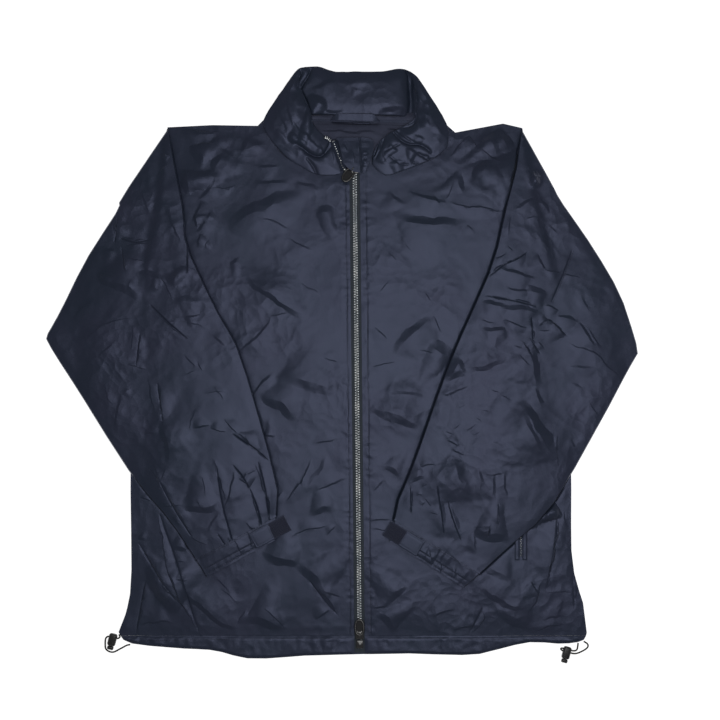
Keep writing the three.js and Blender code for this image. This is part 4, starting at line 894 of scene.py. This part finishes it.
cuffs, cuff_frames = {}, {}
for side, seed in (("right", 7.7), ("left", 4.1)):
    sign = -1 if side == "right" else 1
    mouth = CUFF_MOUTHS[side]
    length = np.linalg.norm(mouth[1] - mouth[0])
    along = (mouth[1] - mouth[0]) / length
    back = np.array((-along[1], along[0])) * -sign
    wide = np.array((-along * 0.02, along * 0.02))
    ends = [mouth + wide, mouth + back * 0.027 + wide]
    cuff_frames[side] = (mouth, along, back)

    def drawn_up(points):
        s, depth = (points - mouth[0]) @ along, (points - mouth[0]) @ back
        force = np.clip((ELASTIC[side] * length - s) / 0.012, 0, 1)
        ripple = puckers(points, np.abs(depth - 0.018) * 0.6, s, seed, 0.0007, 0.0068, 0.012)
        ripple += puckers(points, np.abs(depth - 0.006), s, seed + 2, 0.0003, 0.0055, 0.008)
        rows = sum(np.exp(-((depth - row) / 0.0011) ** 2) for row in (0.0035, 0.0105))
        return ripple * force - 0.0005 * rows

    corners, shapes = press_tube("cuff_" + side, "cuff_" + side, CREASES["cuff_" + side], ends, seed,
                                 max(0.0016, CELL * 0.6), swell=drawn_up)
    cuff = make_cloth("cuff_%s_band" % side, corners, shapes, shell_nylon, grain=sign * 0.5)
    declare(cuff, ["cuff_" + side], ["front_%s_panel" % side])
    cuffs[side] = cuff

    _, ring = outer_faces("cuff_tab_" + side, 1)
    points, faces = cut_cloth(ring, 0.0014)
    tree = tree_of(cuff, bpy.data.objects["sleeve_%s_tube" % side], bpy.data.objects["front_%s_panel" % side])
    heights = relax(np.array([land(tree, *p)[0].z for p in points]), faces, 60) + 0.0017
    from_rim = away_from(points, ring)
    heights += 0.0004 * np.clip(from_rim / 0.0015, 0, 1) - 0.0002 * np.exp(-((from_rim - 0.0026) / 0.0009) ** 2)
    tab = make_cloth("cuff_%s_tab" % side, np.column_stack([points, heights]), faces, shell_nylon, grain=sign * 0.5)
    declare(tab, ["cuff_tab_" + side], [cuff.name, "front_%s_panel" % side])

    _, ring = outer_faces("hook_pad_" + side, 1)
    points, faces = cut_cloth(ring, 0.0016)
    tree = tree_of(tab)
    heights = np.array([land(tree, *p)[0].z if land(tree, *p)[0] else 0.0 for p in points])
    heights = relax(np.maximum(heights, np.median(heights) - 0.001), faces, 40) + 0.0012
    pad = make_cloth("hook_tape_" + side, np.column_stack([points, heights]), faces, hook_base, thick=0.0009)
    declare(pad, ["hook_pad_" + side], [tab.name])
    tree = tree_of(pad)
    bpy.ops.object.select_all(action="DESELECT")
    bpy.ops.mesh.primitive_torus_add(major_segments=6, minor_segments=4, major_radius=0.0005, minor_radius=0.00016,
                                     rotation=(math.pi / 2, 0, 0))
    bpy.ops.object.transform_apply()
    hook = bpy.context.object
    places = []
    for s in np.arange(0.0065, 0.0290, 0.0014):
        for depth in np.arange(0.0036, 0.0230, 0.0013):
            x, y = mouth[1] + along * (TAB_REACH[side] - s + random.uniform(-0.0003, 0.0003)) + back * depth
            if inside(np.array([(x, y)]), ring)[0]:
                places.append(seated(tree, x, y, random.uniform(0, 3), 0.0002))
    hooks = repeat("hooks_" + side, hook, [p for p in places if p is not None], hook_plastic)
    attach(hooks, "parka")

# ---------------------------------------------------------------------------
# The collar, a high band of two layers of nylon with the hood rolled up between them. It
# stands at the sides, folds down to the table at the back, and crumples at the throat.
# A deep fold is half its width and its depth in mm, and then the line that it follows.
CREASES["collar"] = [
    (-92, 300, -62, 280, 4, 0.3, 0), (-88, 316, -70, 296, 3, 0.3, 2), (-62, 313, -72, 300, 4, 0.6, 0),
    (-76, 350, -66, 320, 3.6, 0.3, 2), (-84, 336, -74, 306, 3, 0.24, 2), (-66, 331, -24, 286, 3, 0.5, -3),
    (-46, 356, -20, 346, 7, 0.5, 2), (-40, 368, -8, 376, 4, 0.4, 2), (-8, 376, 56, 385, 3.6, 0.34, 2),
    (10, 372, 26, 368, 2.6, 0.24, -1), (-36, 342, 4, 341, 4, 0.4, 0), (46, 341, 84, 342, 5, 0.5, 0),
    (96, 275, 106, 268, 2.4, 0.5, 0), (98, 312, 112, 300, 2.6, 0.4, 0), (50, 298, 60, 270, 3, 0.4, 0),
    (62, 270, 84, 276, 4, 0.4, 0), (110, 352, 122, 318, 3, 0.26, -2), (84, 290, 104, 284, 3, 0.5, 0),
    (126, 330, 136, 306, 2.6, 0.3, 0), (98, 372, 106, 350, 2.4, 0.34, 0), (104, 336, 104, 314, 2.4, 0.4, 0),
    (62, 296, 74, 286, 3, 0.5, 0), (-30, 296, -20, 276, 2.4, 0.5, 0), (-14, 292, -10, 270, 2.2, 0.5, 0),
]
COLLAR_FOLDS = [
    (2.2, 5.0, (-64, 297), (-52, 290), (-45, 284), (-34, 279), (-26, 281), (-18, 291), (-14, 300)),
    (3.0, 3.0, (-58, 294), (-50, 289), (-42, 283)), (1.3, 3.0, (-48, 278), (-42, 271), (-37, 263), (-33, 253)),
    (1.2, 2.0, (-107, 328), (-104, 309), (-97, 296), (-88, 284), (-77, 276), (-63, 268), (-48, 259), (-34, 250)),
    (1.6, 4.0, (-41, 394), (-46, 383), (-52, 375), (-56, 367)), (1.4, 2.4, (-56, 392), (-55, 387), (-60, 376), (-58, 367)),
    (1.5, 3.5, (-55, 367), (-50, 356), (-45, 345), (-42, 334), (-40, 320)), (1.2, 1.6, (-48, 352), (-40, 338)),
    (5.2, 9.0, (88, 397), (91, 384), (92, 366), (93, 350), (92, 336), (92, 324)),
    (1.4, 3.0, (93, 387), (99, 371), (102, 356), (100, 342), (101, 330), (93, 320), (80, 319), (66, 316), (57, 313)),
    (1.6, 4.0, (67, 313), (78, 302), (89, 296), (104, 295), (114, 290), (120, 284)), (1.2, 2.2, (71, 316), (84, 306), (93, 300), (102, 296)),
    (0.9, 1.6, (58, 286), (67, 291), (78, 296)), (1.3, 3.0, (101, 284), (109, 280), (117, 279)),
    (1.3, 3.0, (109, 279), (116, 276), (124, 273)), (1.2, 2.0, (92, 274), (104, 268)),
    (1.4, 3.0, (50, 304), (47, 293), (43, 279)), (1.2, 2.4, (57, 306), (52, 290), (45, 276)),
    (1.2, 2.0, (33, 271), (40, 266), (57, 251)), (1.0, 1.6, (57, 251), (84, 256), (93, 261), (111, 266), (125, 273), (137, 277), (151, 286)),
    (1.3, 2.6, (143, 306), (148, 302), (153, 297)), (1.0, 1.4, (64, 280), (78, 270), (90, 268)),
]


def soft_copy(name, node, voxel, rounds, finish):
    """A copy of a CAD solid, remeshed and smoothed until its facets are gone."""
    bm = bmesh.new()
    bm.from_mesh(frame["nodes"][node].data)
    bmesh.ops.remove_doubles(bm, verts=bm.verts, dist=2e-5)
    mesh = bpy.data.meshes.new(name)
    bm.to_mesh(mesh)
    bm.free()
    mesh.materials.clear()
    mesh.materials.append(finish)
    piece = bpy.data.objects.new(name, mesh)
    bpy.context.scene.collection.objects.link(piece)
    bpy.ops.object.select_all(action="DESELECT")
    piece.select_set(True)
    bpy.context.view_layer.objects.active = piece
    remesh = piece.modifiers.new("remesh", "REMESH")
    remesh.mode = "VOXEL"
    remesh.voxel_size = voxel
    bpy.ops.object.modifier_apply(modifier="remesh")
    calm = piece.modifiers.new("calm", "SMOOTH")
    calm.factor = 0.6
    calm.iterations = rounds
    bpy.ops.object.modifier_apply(modifier="calm")
    return piece


VOXEL = 0.0013
collar = soft_copy("collar_band", "collar", VOXEL, int((0.0085 / VOXEL) ** 2), shell_nylon)
corners = np.array([v.co[:] for v in collar.data.vertices])
normals = np.array([v.normal[:] for v in collar.data.vertices])
corners += normals * 0.0008
upward = np.clip((normals[:, 2] - 0.1) / 0.4, 0, 1)
lift = (creases(corners[:, :2], CREASES["collar"]) - pressed(corners[:, :2], COLLAR_FOLDS)) * upward
net = np.array([1 - 2 * abs(noise.noise(Vector(p) * 34 + Vector((3, 8, 1)))) for p in corners]) * 0.0006
net += np.array([1 - 2 * abs(noise.noise(Vector(p) * 80 + Vector((1, 2, 9)))) for p in corners]) * 0.0002
grounded = np.clip(corners[:, 2] / 0.003, 0, 1)
corners += normals * (net * grounded)[:, None]
_, outline = outer_faces("collar", 1)
within = np.clip(away_from(corners[:, :2], outline) / 0.016, 0, 1)
within = within * within * (3 - 2 * within)
corners[:, 2] = np.where(corners[:, 2] > 0.006, 0.006 + (corners[:, 2] - 0.006) * (0.22 + 0.18 * within), corners[:, 2])
corners[:, 2] += lift * grounded
corners[:, 2] = np.maximum(corners[:, 2], 0.0001 + 0.0012 * upward)
corners[:, 1] += 0.0035 * np.clip((corners[:, 1] - 0.34) / 0.05, 0, 1)
collar.data.vertices.foreach_set("co", corners.ravel())
collar.data.update()
bpy.ops.object.shade_smooth()
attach(collar, "parka")
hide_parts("collar")

# ---------------------------------------------------------------------------
# The facing inside the back neck, the loop of the same cloth that the parka hangs by, the
# tape over the neck seam, and the guard that lies behind the top of the zip.
# This cloth is darker than the shell nylon: painted shade of the recess inside the neck and under the collar, on the
# facing and on the neck seam tape.
facing_nylon_painted_shade = nylon("facing nylon", (0.013, 0.016, 0.026), (0.020, 0.022, 0.037), 0.45, 0.0004)
CREASES["back_neck_facing"] = [
    (-40, 312, 60, 309, 3, 0.2, 3), (-30, 300, 4, 296, 2.6, 0.2, 2), (60, 318, 84, 306, 3, 0.3, 2),
]
triangles, ring = outer_faces("back_neck_facing", 1)
points, faces = cut_cloth(ring, CELL, [
    fold_points([(1.4, 2.2, (-14, 326.5), (16, 325), (50, 324.5))]), crease_lines(CREASES["back_neck_facing"], 0.002)])
heights = relax(height_over(triangles)(points), faces, rest)
edge = np.clip(away_from(points, ring) / 0.010, 0, 1)
heights += 0.0004 + edge * (creases(points, CREASES["back_neck_facing"]) + crumple(points, 2.2, 30, 0.0003))
heights -= pressed(points, [(1.4, 2.2, (-14, 326.5), (16, 325), (50, 324.5))])
facing = make_cloth("neck_facing", np.column_stack([points, heights]), faces, facing_nylon_painted_shade)
declare(facing, ["back_neck_facing"], ["back_panel"])

NECK_SEAM = np.array([(-0.101, 0.330), (-0.092, 0.3335), (0.098, 0.3325), (0.134, 0.3255)])
strip = np.concatenate([NECK_SEAM - (0, 0.0035), NECK_SEAM[::-1] + (0, 0.006)])
points, faces = cut_cloth(strip, max(CELL * 0.6, 0.0015))
across = away_from(points, NECK_SEAM, closes=False)
heights = 0.0026 + 0.0006 * np.cos(across / 0.006 * 1.5) + crumple(points, 6.1, 60, 0.0003)
seam_tape = make_cloth("neck_seam_tape", np.column_stack([points, heights]), faces, facing_nylon_painted_shade)
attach(seam_tape, "parka")

HANGER = np.array([(-0.0155, 0.3285), (-0.0075, 0.3368), (0.0435, 0.3358), (0.0515, 0.3265)])
points, faces = cut_cloth(HANGER, 0.0013)
ends = np.clip(np.minimum(points[:, 0] + 0.0155, 0.0515 - points[:, 0]) / 0.011, 0, 1)
heights = 0.0048 + 0.0040 * np.sqrt(ends) + 0.16 * (points[:, 1] - 0.332)
heights += crumple(points, 1.4, 60, 0.0002)
hanger = make_cloth("hanger_strip", np.column_stack([points, heights]), faces, shell_nylon, thick=0.0010)
declare(hanger, ["hanger_loop"], ["neck_facing"])

def smooth_ring(ring, step):
    """A smooth closed outline through some corners, but for its first one, which stays sharp."""
    return smooth_line(np.concatenate([ring, ring[:1]]), step)[:-1]


CREASES["zip_guard"] = [
    (12, 290, 16, 272, 2.2, 0.4, 1), (2, 298, 8, 288, 2, 0.3, 0), (18, 300, 20, 286, 2, 0.24, 0),
]
triangles, ring = outer_faces("zip_guard", 1)
GUARD = np.array([(-0.0075, 0.3040), (-0.0066, 0.2910), (-0.0020, 0.2775), (0.0050, 0.2665), (0.0120, 0.2606),
                  (0.0180, 0.2580), (0.0300, 0.2572), (0.0345, 0.2660), (0.0420, 0.2860), (0.0375, 0.3030)])
points, faces = cut_cloth(smooth_ring(GUARD, 0.002), 0.0013)
over_slider = np.clip((0.300 - points[:, 1]) / 0.030, 0, 1)
heights = relax(height_over(triangles)(points), faces, 200) + 0.0032 * over_slider
from_stitch = points[:, 0] - 0.0240 - 0.05 * (0.300 - points[:, 1])
edge = np.clip(away_from(points, GUARD) / 0.004, 0, 1)
heights += 0.0012 + edge * (creases(points, CREASES["zip_guard"]) + crumple(points, 9.3, 60, 0.0002))
heights -= 0.0008 * np.exp(-(from_stitch / 0.0011) ** 2)
heights += puckers(points, np.abs(from_stitch - 0.006), points[:, 1], 5.5, 0.0008, 0.0048, 0.005) * edge
guard = make_cloth("guard_flap", np.column_stack([points, heights]), faces, shell_nylon)
declare(guard, ["zip_guard"], ["front_left_panel"])

# ---------------------------------------------------------------------------
# The front zip: two woven tapes, moulded teeth that glint, and above the top slider the
# parted row of teeth that runs up along the collar's edge to its stop.
PITCH = 0.0034
tape_weave, shader, start, where, laid = new_finish("zip tape", Roughness=0.62, Specular_IOR_Level=0.4)
ribs = (laid.part(0) * (2 * math.pi / 0.0009)).wave()
rows = (laid.part(1) * (2 * math.pi / 0.0011) + ribs * 1.5).wave()
(ribs * rows * 0.3 + 0.5).clamp().blend((0.018, 0.027, 0.039), (0.036, 0.050, 0.070)).feed(shader, "Base Color")
start.node("ShaderNodeBump", None, Height=ribs * rows, Strength=0.6, Distance=0.00008).feed(shader, "Normal")
tooth_metal, shader, start, where, laid = new_finish("zip teeth", Metallic=1.0)
wear = start.node("ShaderNodeTexNoise", None, Vector=where, Scale=45.0, Detail=2.0)
(wear * 2.0 - 0.6).clamp().blend((0.34, 0.38, 0.42), (0.92, 0.93, 0.92)).feed(shader, "Base Color")
(0.16 + wear * 0.22).feed(shader, "Roughness")
black_metal, shader, start, where, laid = new_finish(
    "black hardware", Base_Color=(0.012, 0.012, 0.014, 1), Metallic=0.2, Coat_Weight=1.0, Coat_Roughness=0.05)
scuff = start.node("ShaderNodeTexNoise", None, Vector=where, Scale=240.0, Detail=3.0)
(0.10 + scuff * 0.16).feed(shader, "Roughness")
matt_black, shader, start, where, laid = new_finish("matt enamel", Base_Color=(0.006, 0.006, 0.008, 1))
grain = start.node("ShaderNodeTexNoise", None, Vector=where, Scale=900.0, Detail=2.0)
(0.55 + grain * 0.3).feed(shader, "Roughness")

fronts_tree = tree_of(*(bpy.data.objects["front_%s_panel" % side] for side in ("right", "left")))
zip_rows = np.arange(ZIP_FOOT[1] + 0.002, ZIP_TOP[1] + 0.004, 0.002)


def zip_x(y):
    return ZIP_TOP[0] + (ZIP_FOOT[0] - ZIP_TOP[0]) * (ZIP_TOP[1] - y) / (ZIP_TOP[1] - ZIP_FOOT[1])


def front_height(y):
    hits = [land(fronts_tree, zip_x(y) + reach, y)[0] for reach in (-0.009, 0.009)]
    hits = [hit.z for hit in hits if hit]
    return min(hits) if hits else math.nan


beds = np.array([front_height(y) for y in zip_rows])
known = ~np.isnan(beds)
beds = np.interp(zip_rows, zip_rows[known], beds[known])
beds = np.convolve(np.pad(beds, 6, "edge"), np.ones(13) / 13, "valid") - PLY - 0.0003


def bed(y):
    """The top of the zip's tapes."""
    return np.interp(y, zip_rows, beds)


for side in ("right", "left"):
    _, ring = outer_faces("zip_tape_" + side, 1)
    points, faces = cut_cloth(ring, max(CELL * 0.6, 0.0018))
    tape = make_cloth("zip_tape_cloth_" + side, np.column_stack([points, bed(points[:, 1])]), faces, tape_weave,
                      thick=0.0008)
    declare(tape, ["zip_tape_" + side], ["back_panel"])


def model_tooth():
    """One tooth, its head towards +X over the zip's middle line, standing on z = 0."""
    bpy.ops.object.select_all(action="DESELECT")
    bpy.ops.mesh.primitive_cube_add(size=1, location=(-0.00185, 0, 0.00125), scale=(0.0025, 0.0024, 0.0025))
    body = bpy.context.object
    bpy.ops.mesh.primitive_cube_add(size=1, location=(0, 0, 0.00125), scale=(0.0018, 0.0013, 0.0021))
    body.select_set(True)
    bpy.context.view_layer.objects.active = body
    bpy.ops.object.join()
    bpy.ops.object.transform_apply()
    rounding = body.modifiers.new("rounding", "BEVEL")
    rounding.width = 0.0004
    rounding.segments = 1
    bpy.ops.object.modifier_apply(modifier="rounding")
    return body


def tooth_place(x, y, z, heading, lean, nod):
    """Turns a tooth's head to a heading, and leans it over a little as worn teeth do."""
    turn = Matrix.Rotation(heading, 3, "Z") @ Matrix.Rotation(lean, 3, "Y") @ Matrix.Rotation(nod, 3, "X")
    return np.column_stack([np.array(turn), (x, y, z)])


places = []
for k, y in enumerate(np.arange(0.2605, -0.3715, -PITCH / 2)):
    side = 1 if k % 2 else -1
    swing = noise.noise(Vector((y * 38, 2.0, 0.5)))
    lean = side * (0.02 - 0.05 * side) + 0.14 * swing + random.uniform(-0.05, 0.05)
    nod = 0.16 * noise.noise(Vector((y * 55, 7.0, 1.5))) + random.uniform(-0.05, 0.05)
    places.append(tooth_place(zip_x(y), y, bed(y) - 0.0002, 0 if side < 0 else math.pi, lean, nod))
chain = repeat("zip_teeth_chain", model_tooth(), places, tooth_metal)
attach(chain, "parka")
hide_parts("zip_chain")

# The parted row leans against the collar's edge, on the rest of the wearer's right tape.
PARTED = np.array([(0.0052, 0.2625, 0.0066), (-0.0020, 0.2800, 0.0090), (-0.0096, 0.2990, 0.0126)])
line = smooth_line(PARTED, PITCH)
run = line[-1] - line[0]
heading = math.atan2(run[1], run[0]) - math.pi / 2
places = [tooth_place(x, y, z, heading, random.uniform(-0.3, 0.1), random.uniform(-0.2, 0.2)) for x, y, z in line]
parted = repeat("zip_teeth_parted", model_tooth(), places, tooth_metal)
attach(parted, "parka")
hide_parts("zip_chain_parted")
strip = smooth_line(PARTED, 0.0014)
left = np.array((math.cos(heading), math.sin(heading), 0.0))
corners = np.concatenate([strip - left * reach - (0, 0, drop) for reach, drop in
                          ((-0.0042, 0.0030), (-0.0006, -0.0034), (0.0060, 0.0012))])
count = len(strip)
shapes = [(k * count + i + 1, k * count + i, (k + 1) * count + i, (k + 1) * count + i + 1) for k in (0, 1) for i in range(count - 1)]
shapes = np.array([tri for a, b, c, d in shapes for tri in ((a, b, c), (a, c, d))])
loose_tape = make_cloth("zip_tape_parted", corners, shapes, shell_nylon, thick=0.0008)
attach(loose_tape, "parka")

# The end of that row: its last teeth, turned over.
collar_tree = tree_of(collar)
places = []
for k, (x, y) in enumerate(((-0.0150, 0.3010), (-0.0172, 0.3030), (-0.0196, 0.3046), (-0.0222, 0.3054))):
    place, _ = land(collar_tree, x, y)
    places.append(tooth_place(x, y, (place.z if place else 0.012) - 0.0004, 0.9 + 0.2 * k, 0.05, 0.1))
end_teeth = repeat("zip_teeth_end", model_tooth(), places, tooth_metal)
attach(end_teeth, "parka")

# ---------------------------------------------------------------------------
# The sliders, the ring pulls that hang in their arches, and the box at the foot of the zip.
SLIDER = {"width": 0.0108, "length": 0.0120, "roof": 0.0011, "room": 0.0030}
PULL = {"length": 0.0230, "width": 0.0140, "wire": 0.0028}
PINS = {"top": Vector((0.0144406, 0.2625, 0.0105)), "foot": Vector((0.0237137, -0.3645, 0.008625))}
HEADINGS = {"top": 234.0, "foot": 90.619}
TIPS = {"top": 4.0, "foot": -2.0}
BORE = 0.0034
ZIP_LEAN = math.radians(0.619)


def settle(piece, name, finish, body="parka", node=None, sharp=40):
    """Ends a hard piece: its turn and size go into its mesh, and its edges stay crisp."""
    bpy.ops.object.select_all(action="DESELECT")
    piece.select_set(True)
    bpy.context.view_layer.objects.active = piece
    bpy.ops.object.transform_apply()
    bpy.ops.object.shade_smooth_by_angle(angle=math.radians(sharp))
    piece.name = name
    piece.data.materials.clear()
    piece.data.materials.append(finish)
    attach(piece, body)
    if node:
        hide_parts(node)
    return piece


def rounded_box(place, size, radius, turn=0.0, segments=3):
    """A box with rounded edges, turned about the vertical."""
    bpy.ops.object.select_all(action="DESELECT")
    bpy.ops.mesh.primitive_cube_add(size=1, location=place, rotation=(0, 0, turn), scale=size)
    piece = bpy.context.object
    bpy.ops.object.transform_apply(location=False, rotation=False)
    rounding = piece.modifiers.new("rounding", "BEVEL")
    rounding.width = radius
    rounding.segments = segments
    bpy.ops.object.modifier_apply(modifier="rounding")
    return piece


def joined(pieces):
    bpy.ops.object.select_all(action="DESELECT")
    for piece in pieces:
        piece.select_set(True)
    bpy.context.view_layer.objects.active = pieces[0]
    bpy.ops.object.join()
    return pieces[0]


for end, pin in PINS.items():
    lean = Matrix.Rotation(ZIP_LEAN, 3, "Z")
    roof = pin.z - BORE / 2 - SLIDER["roof"] / 2
    middle = Vector((zip_x(pin.y), pin.y, 0))
    parts = [rounded_box((middle.x, pin.y, roof), (SLIDER["width"], SLIDER["length"], SLIDER["roof"]), 0.0005, ZIP_LEAN)]
    for sign in (-1, 1):
        wall = middle + lean @ Vector((sign * (SLIDER["width"] - 0.0011) / 2, 0, 0))
        deep = SLIDER["room"] + 0.0006
        parts.append(rounded_box((wall.x, wall.y, roof - deep / 2), (0.0011, SLIDER["length"], deep), 0.0003, ZIP_LEAN))
    ridge = rounded_box((middle.x, pin.y, roof + 0.0006), (0.0046, SLIDER["length"] * 0.8, 0.0009), 0.0004, ZIP_LEAN)
    bpy.ops.object.select_all(action="DESELECT")
    bpy.ops.mesh.primitive_torus_add(
        major_segments=24, minor_segments=8, major_radius=0.0023, minor_radius=0.0006, location=pin,
        rotation=(0, math.pi / 2, math.radians(HEADINGS[end] - 90)))
    arch = bpy.context.object
    arch.scale = (1.0, 1.0, 1.4)
    settle(joined(parts + [ridge, arch]), "slider_body_" + end, black_metal, node="zip_slider_" + end)

    bpy.ops.object.select_all(action="DESELECT")
    bpy.ops.curve.primitive_bezier_circle_add(radius=1)
    pull = bpy.context.object
    half = ((PULL["width"] - PULL["wire"]) / 2, (PULL["length"] - PULL["wire"]) / 2)
    for point in pull.data.splines[0].bezier_points:
        for part in ("co", "handle_left", "handle_right"):
            x, y, z = getattr(point, part)
            setattr(point, part, (x * half[0], (y + 1) * half[1], z))
    pull.data.dimensions = "3D"
    pull.data.resolution_u = 16
    pull.data.bevel_depth = PULL["wire"] / 2
    pull.data.bevel_resolution = 4
    bpy.ops.object.convert(target="MESH")
    pull = bpy.context.object
    bpy.ops.object.select_all(action="DESELECT")
    bpy.ops.mesh.primitive_cylinder_add(vertices=32, radius=1, depth=0.0009, location=(0, half[1] * 1.2, 0),
                                        scale=(half[0], half[1] * 0.78, 1))
    web = bpy.context.object
    for piece, name, finish in ((pull, "ring_pull_", black_metal), (web, "pull_web_", matt_black)):
        turn = Euler((math.radians(TIPS[end]), 0, math.radians(HEADINGS[end] - 90)))
        piece.location = pin + turn.to_matrix() @ piece.location
        piece.rotation_euler = turn
        settle(piece, name + end, finish, body="pull_" + end, node="zip_pull_" + end, sharp=60)

foot = (zip_x(-0.3775), -0.3775)
box = [rounded_box((*foot, bed(foot[1]) + 0.0013), (0.0092, 0.0108, 0.0032), 0.0008, ZIP_LEAN),
       rounded_box((foot[0], foot[1] - 0.0012, bed(foot[1]) + 0.0029), (0.0034, 0.0070, 0.0010), 0.0003, ZIP_LEAN)]
settle(joined(box), "zip_foot_box", black_metal, node="zip_box")

# ---------------------------------------------------------------------------
# The side pockets. Two welts close over a zip. The sleeves hide them, all but the foot of
# the one on the wearer's left.
POCKETS = {"right": (-0.189, -0.264, -0.120), "left": (0.241, -0.264, -0.120)}
for side, (x, low, high) in POCKETS.items():
    tree = tree_of(bpy.data.objects["front_%s_panel" % side])
    for edge_name in ("fore", "aft"):
        node = "pocket_welt_%s_%s" % (edge_name, side)
        _, ring = outer_faces(node, 1)
        points, faces = cut_cloth(ring, 0.0016)
        heights = relax(np.array([land(tree, *p)[0].z for p in points]), faces, 30)
        heights += PLY + 0.0003 + 0.0006 * np.clip(away_from(points, ring) / 0.0016, 0, 1)
        heights += puckers(points, np.zeros(len(points)), points[:, 1], x * 40, 0.0001, 0.006, 0.01)
        welt = make_cloth("welt_%s_%s" % (edge_name, side), np.column_stack([points, heights]), faces, shell_nylon)
        declare(welt, [node], ["front_%s_panel" % side])
    bpy.ops.object.select_all(action="DESELECT")
    bpy.ops.mesh.primitive_cylinder_add(vertices=6, radius=0.0006, depth=0.0026, rotation=(0, math.pi / 2, 0))
    bpy.ops.object.transform_apply()
    rung = bpy.context.object
    places = []
    for k, y in enumerate(np.arange(low + 0.006, high - 0.006, 0.0024)):
        places.append(seated(tree, x + (0.0004 if k % 2 else -0.0004), y, 0.0, 0.0006))
    coil = repeat("pocket_coil_" + side, rung, places, tooth_metal)
    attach(coil, "parka")
    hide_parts("pocket_zip_" + side)

# ---------------------------------------------------------------------------
# The sprung locks on the two loops of shock cord. Each is a ribbed block with a slot for
# both strands, and a button at its end.
black_plastic, shader, start, where, laid = new_finish(
    "black plastic", Base_Color=(0.012, 0.012, 0.013, 1), Specular_IOR_Level=0.55)
haze = start.node("ShaderNodeTexNoise", None, Vector=where, Scale=320.0, Detail=2.0)
(0.20 + haze * 0.25).feed(shader, "Roughness")
LOCKS = {"right": (Vector((-0.3092, -0.3712, 0.0048)), 76), "left": (Vector((0.3024, -0.3888, 0.0048)), 75)}
LOCK = {"length": 0.0170, "width": 0.0110, "thick": 0.0090, "slot_long": 0.0064, "slot_high": 0.0032, "slot_at": 0.0030}
BUTTON = {"length": 0.0050, "width": 0.0086, "thick": 0.0060}
for side, (middle, heading) in LOCKS.items():
    turn = math.radians(heading - 90)
    ahead = Vector((-math.sin(turn), math.cos(turn), 0))
    body = rounded_box(middle, (LOCK["width"], LOCK["length"], LOCK["thick"]), 0.0030, turn, segments=5)
    slot = rounded_box(middle + ahead * LOCK["slot_at"], (0.018, LOCK["slot_long"], LOCK["slot_high"]), 0.0008, turn)
    hole = body.modifiers.new("hole", "BOOLEAN")
    hole.object = slot
    hole.solver = "EXACT"
    bpy.ops.object.select_all(action="DESELECT")
    body.select_set(True)
    bpy.context.view_layer.objects.active = body
    bpy.ops.object.modifier_apply(modifier="hole")
    bpy.data.objects.remove(slot)
    ribs = [rounded_box(middle + ahead * at, (LOCK["width"] * 0.72, 0.0009, LOCK["thick"] + 0.0008), 0.0004, turn)
            for at in (-0.0062, -0.0044, -0.0026)]
    settle(joined([body] + ribs), "cord_lock_body_" + side, black_plastic, node="cord_lock_" + side)
    at = middle - ahead * ((LOCK["length"] + BUTTON["length"]) / 2 + 0.0003)
    button = rounded_box(at, (BUTTON["width"], BUTTON["length"], BUTTON["thick"]), 0.0017, turn, segments=4)
    settle(button, "cord_lock_button_" + side, black_plastic, node="lock_button_" + side)

# ---------------------------------------------------------------------------
# The stitches that show, each one a short turned thread in the cloth.
thread, shader, start, where, laid = new_finish(
    "sewing thread", Base_Color=(0.016, 0.019, 0.034, 1), Roughness=0.5, Specular_IOR_Level=0.4)


def sew(name, pieces, rows, pitch=0.0029):
    """Rows of stitches on some pieces of cloth. Each row is a line of places in metres."""
    tree = tree_of(*pieces)
    bpy.ops.object.select_all(action="DESELECT")
    bpy.ops.mesh.primitive_cylinder_add(vertices=6, radius=0.00024, depth=pitch * 0.72, rotation=(0, math.pi / 2, 0))
    bpy.ops.object.transform_apply()
    stitch = bpy.context.object
    places = []
    for row in rows:
        line = smooth_line(row, pitch)
        for here, there in zip(line, line[1:]):
            x, y = (here + there) / 2
            place = seated(tree, x, y, math.atan2(there[1] - here[1], there[0] - here[0]), 0.00006)
            if place is not None:
                places.append(place)
    stitches = repeat(name, stitch, places, thread)
    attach(stitches, "parka")


def beside_zip(shift):
    return [(zip_x(y) + shift, y) for y in np.linspace(0.240, -0.362, 12)]


sew("stitches_front_right", [bpy.data.objects["front_right_panel"]], [beside_zip(-TOPSTITCH["right"])])
sew("stitches_front_left", [bpy.data.objects["front_left_panel"]], [beside_zip(TOPSTITCH["left"])])
for side, reach in (("right", (-0.292, 0.006)), ("left", (0.040, 0.314))):
    rows = [[(x, HEM_TOP - drop - 0.004 * ((x - 0.02) / 0.3) ** 2) for x in np.linspace(*reach, 24)] for drop in (0.0034,)]
    sew("stitches_hem_" + side, [bpy.data.objects["hem_%s_casing" % side]], rows)
    mouth, along, back = cuff_frames[side]
    rows = [[mouth[0] + along * s + back * depth for s in np.linspace(0.003, np.linalg.norm(mouth[1] - mouth[0]) - 0.003, 9)]
            for depth in (0.0035, 0.0105, 0.0250)]
    sew("stitches_cuff_" + side, [cuffs[side]], rows)
    rows = [[mouth[1] + along * (TAB_REACH[side] - 0.0312) + back * depth for depth in (0.0040, 0.0130, 0.0220)]]
    sew("stitches_tab_" + side, [bpy.data.objects["cuff_%s_tab" % side]], rows)
sew("stitches_guard", [guard], [[(0.0240 + 0.05 * (0.300 - y), y) for y in (0.3015, 0.285, 0.270, 0.259)]])
sew("stitches_facing", [facing], [[(-0.060, 0.3235), (0.0, 0.3230), (0.060, 0.3222), (0.110, 0.3195)]])
sew("stitches_hanger", [hanger], [[(x, 0.3275), (x + 0.0015, 0.3350)] for x in (-0.0125, -0.0110, 0.0470, 0.0485)], pitch=0.0016)
sew("stitches_sleeve_left", [bpy.data.objects["sleeve_left_tube"]], [[(0.3120, 0.152), (0.3000, 0.121), (0.2840, 0.083)]])

for node in frame["nodes"].values():
    node.data.materials.clear()
    node.data.materials.append(shell_nylon)
